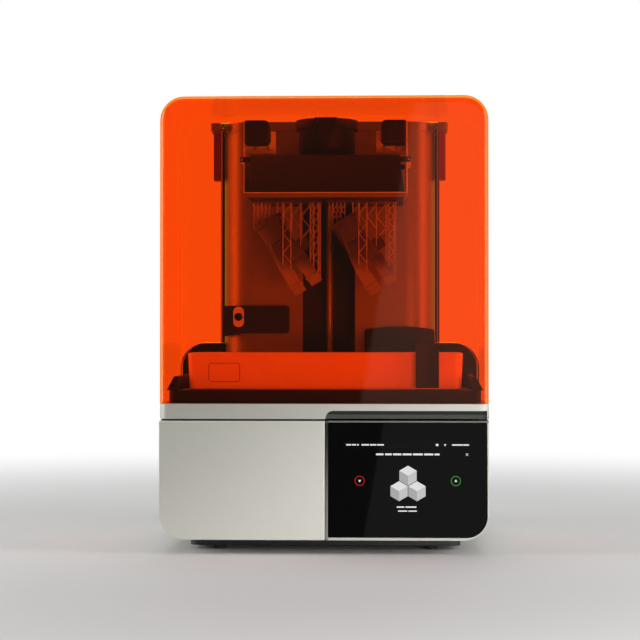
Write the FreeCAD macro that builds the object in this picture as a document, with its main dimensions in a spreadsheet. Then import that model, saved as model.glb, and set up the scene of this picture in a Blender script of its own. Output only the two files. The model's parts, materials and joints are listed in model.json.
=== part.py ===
import FreeCAD, Part
import math
import os
import re
import Sketcher

# Desktop resin printer: metal base with touch display, tinted hinged cover, tower and build platform.
# Millimetres, +Z up, the front faces -Y, origin at the centre of the footprint on the table.

# Driving dimensions
sizes = {
    # outer envelope
    "half_width": 199, "front_y": -183.5, "back_y": 183.5, "total_height": 554,
    # base levels
    "foot_height": 5, "shell_bottom": 17, "shell_top": 161, "seam_top": 162.8, "band_top": 181,
    "deck_top": 196.5, "deck_bottom": 172, "sheet_wall": 2.5, "base_corner": 31, "fit_gap": 0.3,
    "foot_radius": 8, "foot_x": 131, "foot_front": -118, "foot_rear": 130,
    "pan_half": 167, "pan_front": -133, "pan_rear": 160, "pan_corner": 14,
    # front panel and display
    "front_depth": 18.5, "panel_top": 160.4, "panel_wall": 3, "panel_right": 1.2, "frame_left": 1.9,
    "tilt_depth": 10, "glass_left": 5.4, "glass_bottom": 20.6, "glass_top": 158,
    "glass_corner": 25.5, "glass_edge": 1.5, "glass_sink": 0.3, "glass_thick": 2, "display_pocket": 6.2,
    "module_margin": 12, "scoop_left": 2, "scoop_top": 172.6, "scoop_depth": 11,
    "scoop_corner": 9.5,
    # band, seam and deck
    "band_wall": 12, "band_corner": 12, "ring_corner": 5, "seam_inset": 1.4, "seam_wall": 9,
    "plinth_front": -148.5, "plinth_rear": 20.7, "plinth_corner": 8,
    # tank, film and exposure window
    "window_half": 104, "window_front": -119, "window_rear": -5, "mask_margin": 8, "mask_thick": 5.5,
    "film_thick": 0.6, "film_gap": 0.1, "tank_front": -133, "tank_rear": 15,
    "tank_top": 242.2, "tank_taper": 2.54, "tank_wall": 4, "tank_floor": 3, "tank_corner": 8,
    "rail_top": 213.5,
    # light engine under the window
    "lamp_half": 112, "lamp_front": -127, "lamp_rear": 3, "lamp_bottom": 90, "lamp_wall": 2.5,
    "board_thick": 4, "sink_base": 8, "fin_height": 26, "fin_thick": 3, "fin_pitch": 16,
    "fan_half": 60, "fan_y": -62, "fan_height": 25, "fan_bore": 56, "rotor_hub": 19,
    "rotor_reach": 54, "rotor_height": 16, "blade_thick": 3, "spindle": 4, "run_gap": 0.05,
    "spider_thick": 3, "spider_arm": 5, "spider_reach": 38, "blade_count": 7,
    # supply, board and rear connections
    "supply_width": 90, "board_width": 132, "supply_front": 40, "supply_rear": 160, "supply_top": 70,
    "board_front": 40, "board_rear": 165, "board_level": 30,
    "post_radius": 3, "post_inset": 8, "contact_x": 7, "contact_z": 2, "rear_sheet": 3.5,
    "inlet_left": -140, "inlet_right": -112, "inlet_low": 60,
    "inlet_high": 84, "inlet_depth": 23, "socket_wall": 3.5, "socket_depth": 15,
    "switch_left": -107.5, "switch_right": -88.5, "switch_low": 58, "switch_high": 86, "switch_depth": 17.5,
    "rocker_y": 174, "rocker_z": 72, "rocker_radius": 9.2, "rocker_half": 6, "rocker_face": 180.5,
    "rocker_pin": 1.5, "rocker_room": 10,
    # tower and rear housings
    "tower_half": 141, "tower_front": 21, "tower_corner": 40, "tower_back_corner": 10,
    "tower_wall": 3, "slot_half": 34.5, "cap_lip": 1.5, "cap_wall": 3,
    "housing_front": 46, "housing_top": 254, "housing_corner": 33, "housing_gap": 0.4,
    # vertical drive
    "screw_y": 52, "screw_radius": 5, "screw_low": 150, "screw_hole": 12,
    "motor_half": 21, "motor_low": 124, "column_half": 62, "column_front": 70, "column_thick": 10,
    "guide_x": 44, "guide_half": 6, "guide_depth": 10, "guide_low": 205,
    "bearing_half": 20, "bearing_front": 42,
    "shelf_rear": 170,
    # cartridge in the tower
    "cartridge_half": 55.5, "cartridge_front": 109.5, "cartridge_rear": 165.5, "cartridge_corner": 8,
    "handle_half": 30, "handle_front": 124, "handle_rear": 151, "handle_depth": 14, "handle_bar": 4,
    # camera and heater
    "camera_right": -52, "camera_low": 267, "camera_high": 303, "camera_front": 13,
    "camera_corner": 4, "bezel_x": -118.5, "bezel_z": 288.4, "bezel_half": 7, "bezel_rise": 13.4,
    "bezel_thick": 3, "lens_radius": 5.2, "lens_thick": 2,
    "heater_left": 47, "heater_front": 17.9, "heater_high": 276, "heater_arch": 280, "heater_rise": 2.5,
    "heater_fall": 4,
    "wrap_depth": 58,
    # mixer
    "mixer_left": 111.5, "mixer_right": 140, "mixer_low": 199.3, "mixer_high": 253.5, "mixer_front": -145,
    "mixer_plate": 7, "mixer_inner": -122, "mixer_leg": 6, "mixer_leg_right": 125, "blade_left": 97,
    "blade_low": 200.6, "blade_high": 216, "blade_rear": 8, "mixer_bridge": 242.7,
    # cover and hinge
    "cover_bottom": 181.3, "cover_rear": 44, "cover_wall": 3, "cover_corner": 30, "cover_edge": 10,
    "cover_back_edge": 11, "arch_top": 255,
    "hinge_y": 54, "pin_radius": 3,
    "arm_rear": 62,
    # carriage
    "carriage_half": 58, "carriage_front": 30, "carriage_mid": 39, "carriage_rear": 68,
    "block_inner": 30, "nut_radius": 11,
    "nut_half": 14, "arm_half": 28, "arm_front": -20,
    # build platform
    "plate_half": 101, "plate_slope": 97,
    "plate_front": -129, "plate_rear": 15, "box_front": -127, "box_rear": 13, "box_half_low": 98,
    "box_half_high": 92, "box_wall": 3,
    "hub_y": -57, "hub_radius": 35.5, "disc_radius": 39.5, "lug_half": 24,
    "lever_half": 10.5, "lever_thick": 3.6, "lever_front": -101.4,
    "lever_corner": 8, "lever_pin": 1.2, "ear_thick": 3, "ear_depth": 14,
    "pivot_x": 103.7, "pivot_radius": 1.5, "knuckle_radius": 3, "side_inner": 100.2,
    "side_outer": 102.2, "side_front": -115, "side_rear": -25,
    "lug_thick": 5, "lug_space": 2, "lug_rise": 3, "lug_outer": 106, "lug_inner": 90,
    "flange_inner": 63, "flange_front": -94.8, "flange_thick": 2,
    "grip_inner": 69, "grip_front": -125, "grip_rear": -94.8, "grip_corner": 7,
    # printed parts under the platform
    "print_x": -77, "print_step": 96, "print_tilt": 32, "inlet_radius": 17,
    "inlet_bore": 13, "inlet_long": 32, "collar_radius": 20, "collar_thick": 6, "split_half": 20,
    "split_end": 64, "outlet_end": 102, "outlet_gap": 4, "outlet_half": 9, "outlet_bore": 5,
    "raft_thick": 1.5, "raft_left": -96, "raft_right": -12, "raft_half": 27,
    "strut_radius": 1.1, "strut_first": 12, "strut_pitch": 10, "strut_count": 5, "strut_y": 7,
    "strut_rise": 26.5,
}

# Levels measured down from the total height
drops = {
    "tower_top": 20, "cap_top": 8, "column_top": 22, "screw_high": 26, "guide_high": 34, "bearing_low": 32,
    "shelf_low": 230, "shelf_high": 224, "hinge_z": 14, "arm_low": 83, "notch_top": 6, "carriage_low": 99,
    "carriage_high": 29, "nut_low": 84, "nut_high": 59, "arm_bottom": 64, "arm_top": 34, "plate_low": 120,
    "plate_lip": 117, "plate_top": 113, "box_top": 67, "hub_top": 29, "disc_top": 17, "lever_low": 40,
    "lever_axis_z": 19, "ear_low": 24, "pivot_z": 72, "side_low": 112, "side_top": 23, "flange_low": 61.5,
    "flange_top": 34, "grip_low": 53, "print_z": 143,
}

# Places measured in from the half width
insets = {
    "rail_outer": 5, "rail_crest": 14, "rail_inner": 19, "plinth_half": 7.5, "arch_half": 3.2,
    "scoop_right": 2.2, "glass_right": 2.2, "supply_edge": 34, "board_edge": 27,
    "tank_half": 31,
}

# Places measured out from the tower's side
steps = {
    "notch_half": 2.5, "pin_inner": -25, "boss_inner": -27, "arm_inner": 4.6, "arm_outer": 13.6,
    "crown_inner": 2.5, "crown_outer": 16, "heater_right": -2, "camera_side": -2,
}

doc = FreeCAD.newDocument("resin_printer")
sheet = doc.addObject("Spreadsheet::Sheet", "dim")
cells = dict(sizes)
cells.update({f"drop_{name}": value for name, value in drops.items()})
cells.update({f"inset_{name}": value for name, value in insets.items()})
cells.update({f"step_{name}": value for name, value in steps.items()})
for row, (name, value) in enumerate(cells.items(), 1):
    sheet.set(f"A{row}", name)
    sheet.set(f"B{row}", str(value))
    sheet.setAlias(f"B{row}", name)
doc.recompute()

pieces = {}


# Formulas over the sheet: names become links to its cells
def spelled(text, cell):
    def replace(match):
        name = match[0]
        if name in drops:
            return f"({cell('total_height')} - {cell('drop_' + name)})"
        if name in insets:
            return f"({cell('half_width')} - {cell('inset_' + name)})"
        if name in steps:
            return f"({cell('tower_half')} + {cell('step_' + name)})"
        return cell(name) if name in sizes else name
    return re.sub(r"[a-z]\w+", replace, str(text))


def linked(text):
    return spelled(text, lambda name: f"dim.{name}")


def number(text):
    plain = spelled(text, lambda name: str(cells[name]))
    return float(FreeCAD.Units.Quantity(plain).Value)


def bind(item, **formulas):
    for field, text in formulas.items():
        item.setExpression(field.replace("__", "."), linked(text))
    return item


def placed(item, x, y, z):
    return bind(item, Placement__Base__x=x, Placement__Base__y=y, Placement__Base__z=z)


def keep(label, item):
    item.Label = label
    pieces[label] = item
    return item


# Primitive solids and booleans
def box(x, y, z):
    item = doc.addObject("Part::Box", "block")
    bind(item, Length=f"({x[1]}) - ({x[0]})", Width=f"({y[1]}) - ({y[0]})", Height=f"({z[1]}) - ({z[0]})")
    return placed(item, x[0], y[0], z[0])


turns = {
    "x": FreeCAD.Rotation(FreeCAD.Vector(0, 1, 0), 90),
    "y": FreeCAD.Rotation(FreeCAD.Vector(1, 0, 0), -90),
    "z": FreeCAD.Rotation(),
}


def rod(radius, axis, start, end, a, b):
    item = doc.addObject("Part::Cylinder", "rod")
    item.Placement = FreeCAD.Placement(FreeCAD.Vector(), turns[axis])
    bind(item, Radius=radius, Height=f"({end}) - ({start})")
    spot = {"x": (start, a, b), "y": (a, start, b), "z": (a, b, start)}[axis]
    return placed(item, *spot)


def fuse(*items):
    item = doc.addObject("Part::MultiFuse", "joined")
    item.Shapes = list(items)
    item.Refine = True
    return item


def cut(base, *tools):
    item = doc.addObject("Part::Cut", "cut")
    item.Base = base
    item.Tool = tools[0] if len(tools) == 1 else fuse(*tools)
    return item


def common(first, second):
    item = doc.addObject("Part::Common", "shared")
    item.Base = first
    item.Tool = second
    return item


def group(*items):
    item = doc.addObject("Part::Compound", "group")
    item.Links = list(items)
    return item


# Sketched outline: corners are (across, up) or (across, up, radius), all held by sheet values
def outline(body, plane, corners):
    sketch = body.newObject("Sketcher::SketchObject", "outline")
    face = next(item for item in body.Origin.OriginFeatures if item.Role == plane)
    sketch.AttachmentSupport = [(face, "")]
    sketch.MapMode = "FlatFace"
    spots = [FreeCAD.Vector(number(corner[0]), number(corner[1]), 0) for corner in corners]
    radii = [number(corner[2]) if len(corner) > 2 else 0 for corner in corners]
    arrive, leave, centres = [], [], []
    for i, spot in enumerate(spots):
        back = (spots[i - 1] - spot).normalize()
        ahead = (spots[(i + 1) % len(spots)] - spot).normalize()
        half_angle = back.getAngle(ahead) / 2
        reach = radii[i] / math.tan(half_angle)
        arrive.append(spot + back * reach)
        leave.append(spot + ahead * reach)
        centres.append(spot + (back + ahead).normalize() * (radii[i] / math.sin(half_angle)))
    lines = []
    for i in range(len(spots)):
        follow = (i + 1) % len(spots)
        lines.append(sketch.addGeometry(Part.LineSegment(leave[i], arrive[follow])))
    for i, spot in enumerate(spots):
        before, after = lines[i - 1], lines[i]
        marker = sketch.addGeometry(Part.Point(spot), True)
        if radii[i]:
            middle = centres[i] + (spot - centres[i]).normalize() * radii[i]
            bend = sketch.addGeometry(Part.Arc(arrive[i], middle, leave[i]))
            turns_left = (arrive[i] - spot).cross(leave[i] - spot).z < 0
            first, last = (1, 2) if turns_left else (2, 1)
            sketch.addConstraint(Sketcher.Constraint("Tangent", before, 2, bend, first))
            sketch.addConstraint(Sketcher.Constraint("Tangent", bend, last, after, 1))
            size = sketch.addConstraint(Sketcher.Constraint("Radius", bend, radii[i]))
            sketch.setExpression(f"Constraints[{size}]", linked(corners[i][2]))
            sketch.addConstraint(Sketcher.Constraint("PointOnObject", marker, 1, before))
            sketch.addConstraint(Sketcher.Constraint("PointOnObject", marker, 1, after))
        else:
            sketch.addConstraint(Sketcher.Constraint("Coincident", before, 2, marker, 1))
            sketch.addConstraint(Sketcher.Constraint("Coincident", after, 1, marker, 1))
        for kind, value, text in (("DistanceX", spot.x, corners[i][0]), ("DistanceY", spot.y, corners[i][1])):
            size = sketch.addConstraint(Sketcher.Constraint(kind, -1, 1, marker, 1, value))
            sketch.setExpression(f"Constraints[{size}]", linked(text))
    return sketch


# Padded outline between two levels along the plane's normal; XZ outlines run along Y
def prism(plane, corners, low, high, taper=None):
    body = doc.addObject("PartDesign::Body", "body")
    sketch = outline(body, plane, corners)
    along_y = plane == "XZ_Plane"
    bind(sketch, AttachmentOffset__Base__z=f"-({high})" if along_y else low)
    pad = body.newObject("PartDesign::Pad", "pad")
    pad.Profile = sketch
    bind(pad, Length=f"({high}) - ({low})")
    if taper:
        bind(pad, TaperAngle=taper)
    return body


def rounded(body, pick, radius):
    doc.recompute()
    base = body.Tip
    names = [f"Edge{i}" for i, edge in enumerate(base.Shape.Edges, 1) if pick(edge.BoundBox)]
    soft = body.newObject("PartDesign::Fillet", "soft")
    soft.Base = (base, names)
    bind(soft, Radius=radius)
    return body


def rectangle(x, y, radius=None):
    corners = [(x[0], y[0]), (x[1], y[0]), (x[1], y[1]), (x[0], y[1])]
    return [corner + (radius,) for corner in corners] if radius else corners


def both(half):
    return (f"-({half})", half)


def mirrored(x):
    return (f"-({x[1]})", f"-({x[0]})")


# Feet and base pan
feet = [rod("foot_radius", "z", 0, "foot_height", x, y)
        for x in both("foot_x") for y in ("foot_front", "foot_rear")]
keep("rubber_feet", group(*feet))
pan_plan = rectangle(both("pan_half"), ("pan_front", "pan_rear"), "pan_corner")
pan_room = rectangle(both("pan_half - sheet_wall"), ("pan_front + sheet_wall", "pan_rear - sheet_wall"),
                     "pan_corner - sheet_wall")
keep("base_pan", cut(prism("XY_Plane", pan_plan, "foot_height", "shell_bottom"),
                     prism("XY_Plane", pan_room, "foot_height + sheet_wall", "shell_bottom + 1")))


# Wrapped lower shell, open at the top, with its rear panel
def shell_face(inset, top):
    half = f"half_width - {inset}"
    low = f"shell_bottom + {inset}"
    radius = f"base_corner - {inset}"
    return [(f"-({half})", top), (f"-({half})", low, radius), (half, low, radius), (half, top)]


shell_run = ("front_y + front_depth", "back_y - rear_sheet")
keep("lower_shell", cut(prism("XZ_Plane", shell_face("0", "shell_top"), *shell_run),
                        prism("XZ_Plane", shell_face("sheet_wall", "shell_top + 1"),
                              "front_y", "back_y")))
inlet_gap = ("inlet_left - fit_gap", "inlet_right + fit_gap")
switch_gap = ("switch_left - fit_gap", "switch_right + fit_gap")
panel_through = ("back_y - rear_sheet - 1", "back_y + 1")
keep("rear_panel", cut(prism("XZ_Plane", shell_face("0", "shell_top"), "back_y - rear_sheet", "back_y"),
                       box(inlet_gap, panel_through, ("inlet_low - fit_gap", "inlet_high + fit_gap")),
                       box(switch_gap, panel_through, ("switch_low - fit_gap", "switch_high + fit_gap"))))

# Front panel, hollow from behind
panel_face = [("-half_width", "panel_top"), ("-half_width", "shell_bottom", "base_corner"),
              ("panel_right", "shell_bottom"), ("panel_right", "panel_top")]
panel_room = [("-half_width + panel_wall", "panel_top - panel_wall"),
              ("-half_width + panel_wall", "shell_bottom + panel_wall", "base_corner - panel_wall"),
              ("panel_right - panel_wall", "shell_bottom + panel_wall"),
              ("panel_right - panel_wall", "panel_top - panel_wall")]
keep("front_panel", cut(prism("XZ_Plane", panel_face, "front_y", "front_y + front_depth"),
                        prism("XZ_Plane", panel_room, "front_y + panel_wall", "front_y + front_depth + 1")))


# Display: frame, glass and panel lean back together
def leaning(near, far):
    profile = [(f"front_y + {near}", "shell_bottom"),
               (f"front_y + {far}", "shell_bottom"),
               (f"front_y + tilt_depth + {far}", "panel_top"),
               (f"front_y + tilt_depth + {near}", "panel_top")]
    return prism("YZ_Plane", profile, "frame_left", "half_width")


def glass_face(grow):
    left, right = f"glass_left - {grow}", f"glass_right + {grow}"
    low, high = f"glass_bottom - {grow}", f"glass_top + {grow}"
    return [(left, high, "glass_edge"), (left, low, "glass_edge"),
            (right, low, f"glass_corner + {grow}"), (right, high, "glass_edge")]


frame_face = [("frame_left", "panel_top"), ("frame_left", "shell_bottom"),
              ("half_width", "shell_bottom", "base_corner"), ("half_width", "panel_top")]
frame_run = ("front_y", "front_y + front_depth")
wedge = prism("YZ_Plane", [("front_y", "shell_bottom"), ("front_y + front_depth", "shell_bottom"),
                           ("front_y + front_depth", "panel_top"), ("front_y + tilt_depth", "panel_top")],
              "frame_left", "half_width")
pocket = common(prism("XZ_Plane", glass_face("fit_gap"), *frame_run), leaning("-1", "display_pocket"))
keep("display_frame", cut(common(prism("XZ_Plane", frame_face, *frame_run), wedge), pocket))
keep("display_glass", common(prism("XZ_Plane", glass_face("0"), *frame_run),
                             leaning("glass_sink", "glass_sink + glass_thick")))
keep("display_module", common(prism("XZ_Plane", glass_face("-module_margin"), *frame_run),
                              leaning("glass_sink + glass_thick", "display_pocket - film_gap")))

# Band and seam ring, scooped out above the display
scoop_face = [("scoop_left", "shell_top - 1"), ("scoop_right", "shell_top - 1"),
              ("scoop_right", "scoop_top"), ("scoop_left", "scoop_top", "scoop_corner")]


def scoop():
    return prism("XZ_Plane", scoop_face, "front_y - 5", "front_y + scoop_depth")


def ring(inset, wall, radius, low, high):
    outer = rectangle(both(f"half_width - {inset}"), (f"front_y + {inset}", f"back_y - {inset}"), radius)
    inner = rectangle(both(f"half_width - {inset} - {wall}"),
                      (f"front_y + {inset} + {wall}", f"back_y - {inset} - {wall}"), "ring_corner")
    return cut(prism("XY_Plane", outer, low, high), prism("XY_Plane", inner, f"{low} - 1", f"{high} + 1"))


keep("seam_gasket", cut(ring("seam_inset", "seam_wall", "band_corner", "shell_top", "seam_top"), scoop()))
keep("top_band", cut(ring("0", "band_wall", "band_corner", "seam_top", "band_top"), scoop()))

# Deck with the exposure window, mask screen on top and the screw hole behind
window = (both("window_half"), ("window_front", "window_rear"))
mask_x = both("window_half + mask_margin")
mask_y = ("window_front - mask_margin", "window_rear + mask_margin")
deck_plan = rectangle(both("half_width - band_wall - fit_gap"),
                      ("front_y + band_wall + fit_gap", "back_y - band_wall - fit_gap"), "ring_corner")
deck_plate = prism("XY_Plane", deck_plan, "deck_bottom", "band_top")
plinth_plan = rectangle(both("plinth_half"), ("plinth_front", "plinth_rear"), "plinth_corner")
mask_seat = box(both("window_half + mask_margin + fit_gap"),
                ("window_front - mask_margin - fit_gap", "window_rear + mask_margin + fit_gap"),
                ("deck_top - mask_thick", "deck_top + 1"))
keep("deck", cut(fuse(deck_plate, prism("XY_Plane", plinth_plan, "band_top", "deck_top")),
                 box(*window, ("deck_bottom - 1", "deck_top + 1")), mask_seat,
                 rod("screw_hole", "z", "deck_bottom - 1", "band_top + 1", 0, "screw_y")))
keep("mask_screen", box(mask_x, mask_y, ("deck_top - mask_thick", "deck_top")))
rail_face = [("rail_inner", "deck_top"), ("rail_outer", "deck_top"), ("rail_crest", "rail_top", "2"),
             ("rail_inner", "rail_top")]
rail_run = ("plinth_front + 1", "plinth_rear - 1")
rail_flip = [("-" + corner[0],) + corner[1:] for corner in rail_face]
keep("tank_rails", group(prism("XZ_Plane", rail_face, *rail_run), prism("XZ_Plane", rail_flip, *rail_run)))

# Resin tank with drafted walls and its film
film_low = "deck_top + film_gap"
tank_low = f"{film_low} + film_thick"
tank_plan = rectangle(both("tank_half"), ("tank_front", "tank_rear"), "tank_corner")
tank_room = rectangle(both("tank_half - tank_wall"), ("tank_front + tank_wall", "tank_rear - tank_wall"),
                      "tank_corner - tank_wall")
tank_outer = prism("XY_Plane", tank_plan, tank_low, "tank_top", "tank_taper")
tank_inner = prism("XY_Plane", tank_room, f"{tank_low} + tank_floor", "tank_top + 1", "tank_taper")
tank_hole = box(both("window_half + 4"), ("window_front - 4", "window_rear + 4"), ("deck_top", "tank_top"))
keep("resin_tank", cut(tank_outer, tank_inner, tank_hole))
keep("tank_film", box(both("window_half + 40"), ("tank_front + 2", "tank_rear - 4"), (film_low, tank_low)))

# Light engine: housing, LED board, finned heat sink and fan
lamp_x, lamp_y = both("lamp_half"), ("lamp_front", "lamp_rear")
lamp_room = box(both("lamp_half - lamp_wall"), ("lamp_front + lamp_wall", "lamp_rear - lamp_wall"),
                ("lamp_bottom - 1", "deck_bottom + 1"))
keep("light_housing", cut(box(lamp_x, lamp_y, ("lamp_bottom", "deck_bottom")), lamp_room))
keep("led_board", box(lamp_x, lamp_y, ("lamp_bottom - board_thick", "lamp_bottom")))
sink_top = "lamp_bottom - board_thick"
sink_low = f"{sink_top} - sink_base - fin_height"
fins = [box((f"{i} * fin_pitch - fin_thick / 2", f"{i} * fin_pitch + fin_thick / 2"), lamp_y,
            (sink_low, f"{sink_top} - sink_base"))
        for i in range(-6, 7)]
keep("heat_sink", fuse(box(lamp_x, lamp_y, (f"{sink_top} - sink_base", sink_top)), *fins))
fan_low = f"{sink_low} - fan_height"
fan_x, fan_y = both("fan_half"), ("fan_y - fan_half", "fan_y + fan_half")
fan_bore = rod("fan_bore", "z", f"{fan_low} + spider_thick", f"{sink_low} + 1", 0, "fan_y")
spider_x = ("spider_arm", "spider_reach")
spider_rows = (("fan_y - spider_reach", "fan_y - spider_arm"), ("fan_y + spider_arm", "fan_y + spider_reach"))
spider_room = [box(x, y, (f"{fan_low} - 1", f"{fan_low} + spider_thick + 1"))
               for x in (spider_x, mirrored(spider_x)) for y in spider_rows]
spindle = rod("spindle", "z", fan_low, f"{fan_low} + fan_height - 5", 0, "fan_y")
keep("light_fan_frame", fuse(cut(box(fan_x, fan_y, (fan_low, sink_low)), fan_bore, *spider_room), spindle))
rotor_low = f"{fan_low} + spider_thick + 1"
rotor_high = f"{rotor_low} + rotor_height"
blades = []
for i in range(sizes["blade_count"]):
    blade = box(("0", "rotor_reach"), ("-blade_thick / 2", "blade_thick / 2"), (rotor_low, rotor_high))
    angle = i * 360 / sizes["blade_count"]
    blade.Placement.Rotation = FreeCAD.Rotation(FreeCAD.Vector(0, 0, 1), angle)
    edge_x = f"blade_thick / 2 * sin({angle})"
    edge_y = f"fan_y - blade_thick / 2 * cos({angle})"
    blades.append(placed(blade, edge_x, edge_y, rotor_low))
rotor_hub = rod("rotor_hub", "z", rotor_low, rotor_high, 0, "fan_y")
rotor_bore = rod("spindle + run_gap", "z", f"{rotor_low} - 1", f"{rotor_high} + 1", 0, "fan_y")
keep("light_fan_rotor", cut(fuse(rotor_hub, *blades), rotor_bore))

# Power supply and main board on the shell floor
floor = "shell_bottom + sheet_wall + film_gap"
supply_x = ("-supply_edge", "-supply_edge + supply_width")
keep("power_supply", box(supply_x, ("supply_front", "supply_rear"), (floor, "supply_top")))
board_x = ("board_edge - board_width", "board_edge")
board_y = ("board_front", "board_rear")
post_x = (f"{board_x[0]} + post_inset", f"{board_x[1]} - post_inset")
post_y = ("board_front + post_inset", "board_rear - post_inset")
posts = [rod("post_radius", "z", floor, "board_level + 1", x, y) for x in post_x for y in post_y]
keep("main_board", fuse(box(board_x, board_y, ("board_level", "board_level + 2")), *posts))

# Mains inlet and rocker switch through the rear panel
inlet_x, inlet_z = ("inlet_left", "inlet_right"), ("inlet_low", "inlet_high")
socket = box(("inlet_left + socket_wall", "inlet_right - socket_wall"),
             ("back_y - socket_depth", "back_y + 1"),
             ("inlet_low + socket_wall", "inlet_high - socket_wall"))
inlet_mid, inlet_level = "(inlet_left + inlet_right) / 2", "(inlet_low + inlet_high) / 2"
contact_y = ("back_y - socket_depth - 1", "back_y - 4")
contacts = [box((f"{inlet_mid} + {x} - 1", f"{inlet_mid} + {x} + 1"), contact_y,
                (f"{inlet_level} + {z} - 2", f"{inlet_level} + {z} + 2"))
            for x, z in (("-contact_x", "-contact_z"), ("0", "contact_z"), ("contact_x", "-contact_z"))]
keep("power_inlet", fuse(cut(box(inlet_x, ("back_y - inlet_depth", "back_y"), inlet_z), socket), *contacts))
switch_x = ("switch_left", "switch_right")
switch_mid = "(switch_left + switch_right) / 2"
rocker_x = (f"{switch_mid} - rocker_half", f"{switch_mid} + rocker_half")
switch_room = box((f"{rocker_x[0]} - fit_gap", f"{rocker_x[1]} + fit_gap"),
                  ("back_y - switch_depth + 1", "back_y + 1"),
                  ("rocker_z - rocker_room", "rocker_z + rocker_room"))
rocker_at = ("rocker_y", "rocker_z")
pin_x = (f"{rocker_x[0]} - 2", f"{rocker_x[1]} + 2")
pin_hole = rod("rocker_pin + run_gap", "x", f"{pin_x[0]} - fit_gap", f"{pin_x[1]} + fit_gap", *rocker_at)
keep("switch_frame", cut(box(switch_x, ("back_y - switch_depth", "back_y"), ("switch_low", "switch_high")),
                         switch_room, pin_hole))
rocker_drum = rod("rocker_radius", "x", *rocker_x, *rocker_at)
rocker_trim = [box((f"{rocker_x[0]} - 1", f"{rocker_x[1]} + 1"), span, ("rocker_z - 12", "rocker_z + 12"))
               for span in (("rocker_face", "rocker_face + 9"), ("rocker_y - 15", "rocker_y - 4"))]
keep("power_switch", fuse(cut(rocker_drum, *rocker_trim), rod("rocker_pin", "x", *pin_x, *rocker_at)))


# Tower, with rounded front corners and the slot for the carriage arm
def tower_plan(inset):
    half = f"tower_half - {inset}"
    front, rear = f"tower_front + {inset}", f"back_y - {inset}"
    front_r, rear_r = f"tower_corner - {inset}", f"tower_back_corner - {inset}"
    return [(f"-({half})", front, front_r), (half, front, front_r),
            (half, rear, rear_r), (f"-({half})", rear, rear_r)]


keep("tower_shell", cut(prism("XY_Plane", tower_plan("0"), "band_top", "tower_top"),
                        prism("XY_Plane", tower_plan("tower_wall"), "band_top - 1", "tower_top + 1"),
                        box(both("slot_half"), ("tower_front - 5", "tower_front + 10"),
                            ("deck_top", "tower_top + 1"))))
cartridge_gap = rectangle(both("cartridge_half + 0.5"), ("cartridge_front - 0.5", "cartridge_rear + 0.5"),
                          "cartridge_corner + 0.5")
cap_plan = tower_plan("-cap_lip")
cap_plan[2:] = tower_plan("0")[2:]
cap_plan[2] = ("tower_half + cap_lip",) + cap_plan[2][1:]
cap_plan[3] = ("-(tower_half + cap_lip)",) + cap_plan[3][1:]
boss_x = ("boss_inner", "tower_half - 1")
boss_y = ("hinge_y - 8", "hinge_y + 8")
boss_z = ("tower_top", "cap_top - 1")
cap_hollow = cut(prism("XY_Plane", cap_plan, "tower_top", "cap_top"),
                 prism("XY_Plane", tower_plan("cap_wall"), "tower_top - 1", "cap_top - cap_wall"))
cap_bosses = fuse(cap_hollow, box(boss_x, boss_y, boss_z), box(mirrored(boss_x), boss_y, boss_z))
pin_room = ("pin_inner - 1", "tower_half + 5")
keep("tower_cap", cut(cap_bosses, prism("XY_Plane", cartridge_gap, "tower_top - 1", "cap_top + 1"),
                      rod("pin_radius + run_gap", "x", *pin_room, "hinge_y", "hinge_z"),
                      rod("pin_radius + run_gap", "x", *mirrored(pin_room), "hinge_y", "hinge_z")))


# Rear housings beside the tower
def housing_face(inset):
    inner, outer = f"tower_half + housing_gap + {inset}", f"half_width - {inset}"
    high = f"housing_top - {inset}"
    return [(inner, "band_top"), (outer, "band_top"),
            (outer, high, f"housing_corner - {inset}"), (inner, high)]


def flipped(corners):
    return [(f"-({corner[0]})",) + corner[1:] for corner in corners]


housings = []
for turn in (list, flipped):
    solid = prism("XZ_Plane", turn(housing_face("0")), "housing_front", "back_y")
    hollow = prism("XZ_Plane", turn(housing_face("cap_wall")),
                   "housing_front + cap_wall", "back_y - cap_wall")
    housings.append(cut(solid, hollow))
keep("rear_housings", group(*housings))

# Vertical drive: column, rails, motor, screw and top bearing
shelf = box(both("column_half"), ("column_front", "shelf_rear"), ("shelf_low", "shelf_high"))
column_run = ("column_front", "column_front + column_thick")
keep("z_column", fuse(box(both("column_half"), column_run, ("band_top", "column_top")), shelf))
guide_y = ("column_front - guide_depth", "column_front")
guide_x = ("guide_x - guide_half", "guide_x + guide_half")
guide_z = ("guide_low", "guide_high")
keep("z_rails", group(box(guide_x, guide_y, guide_z), box(mirrored(guide_x), guide_y, guide_z)))
keep("lead_screw", rod("screw_radius", "z", "screw_low", "screw_high", 0, "screw_y"))
screw_room = rod("screw_radius + run_gap", "z", "screw_low - 1", "tower_top", 0, "screw_y")
motor_y = ("screw_y - motor_half", "screw_y + motor_half")
keep("z_motor", cut(box(both("motor_half"), motor_y, ("motor_low", "deck_bottom")), screw_room))
bearing = box(both("bearing_half"), ("bearing_front", "column_front"), ("bearing_low", "column_top"))
keep("screw_bearing", cut(bearing, screw_room))

# Resin cartridge standing in the tower, with a handle bar across its top pocket
cartridge_plan = rectangle(both("cartridge_half"), ("cartridge_front", "cartridge_rear"), "cartridge_corner")
handle_room = box(both("handle_half"), ("handle_front", "handle_rear"),
                  ("cap_top - handle_depth", "cap_top + 1"))
handle_mid = "(handle_front + handle_rear) / 2"
handle = box(both("handle_half"), (f"{handle_mid} - handle_bar", f"{handle_mid} + handle_bar"),
             ("cap_top - handle_bar", "cap_top"))
bottle = prism("XY_Plane", cartridge_plan, "shelf_high", "cap_top")
keep("resin_cartridge", fuse(cut(bottle, handle_room), handle))

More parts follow.
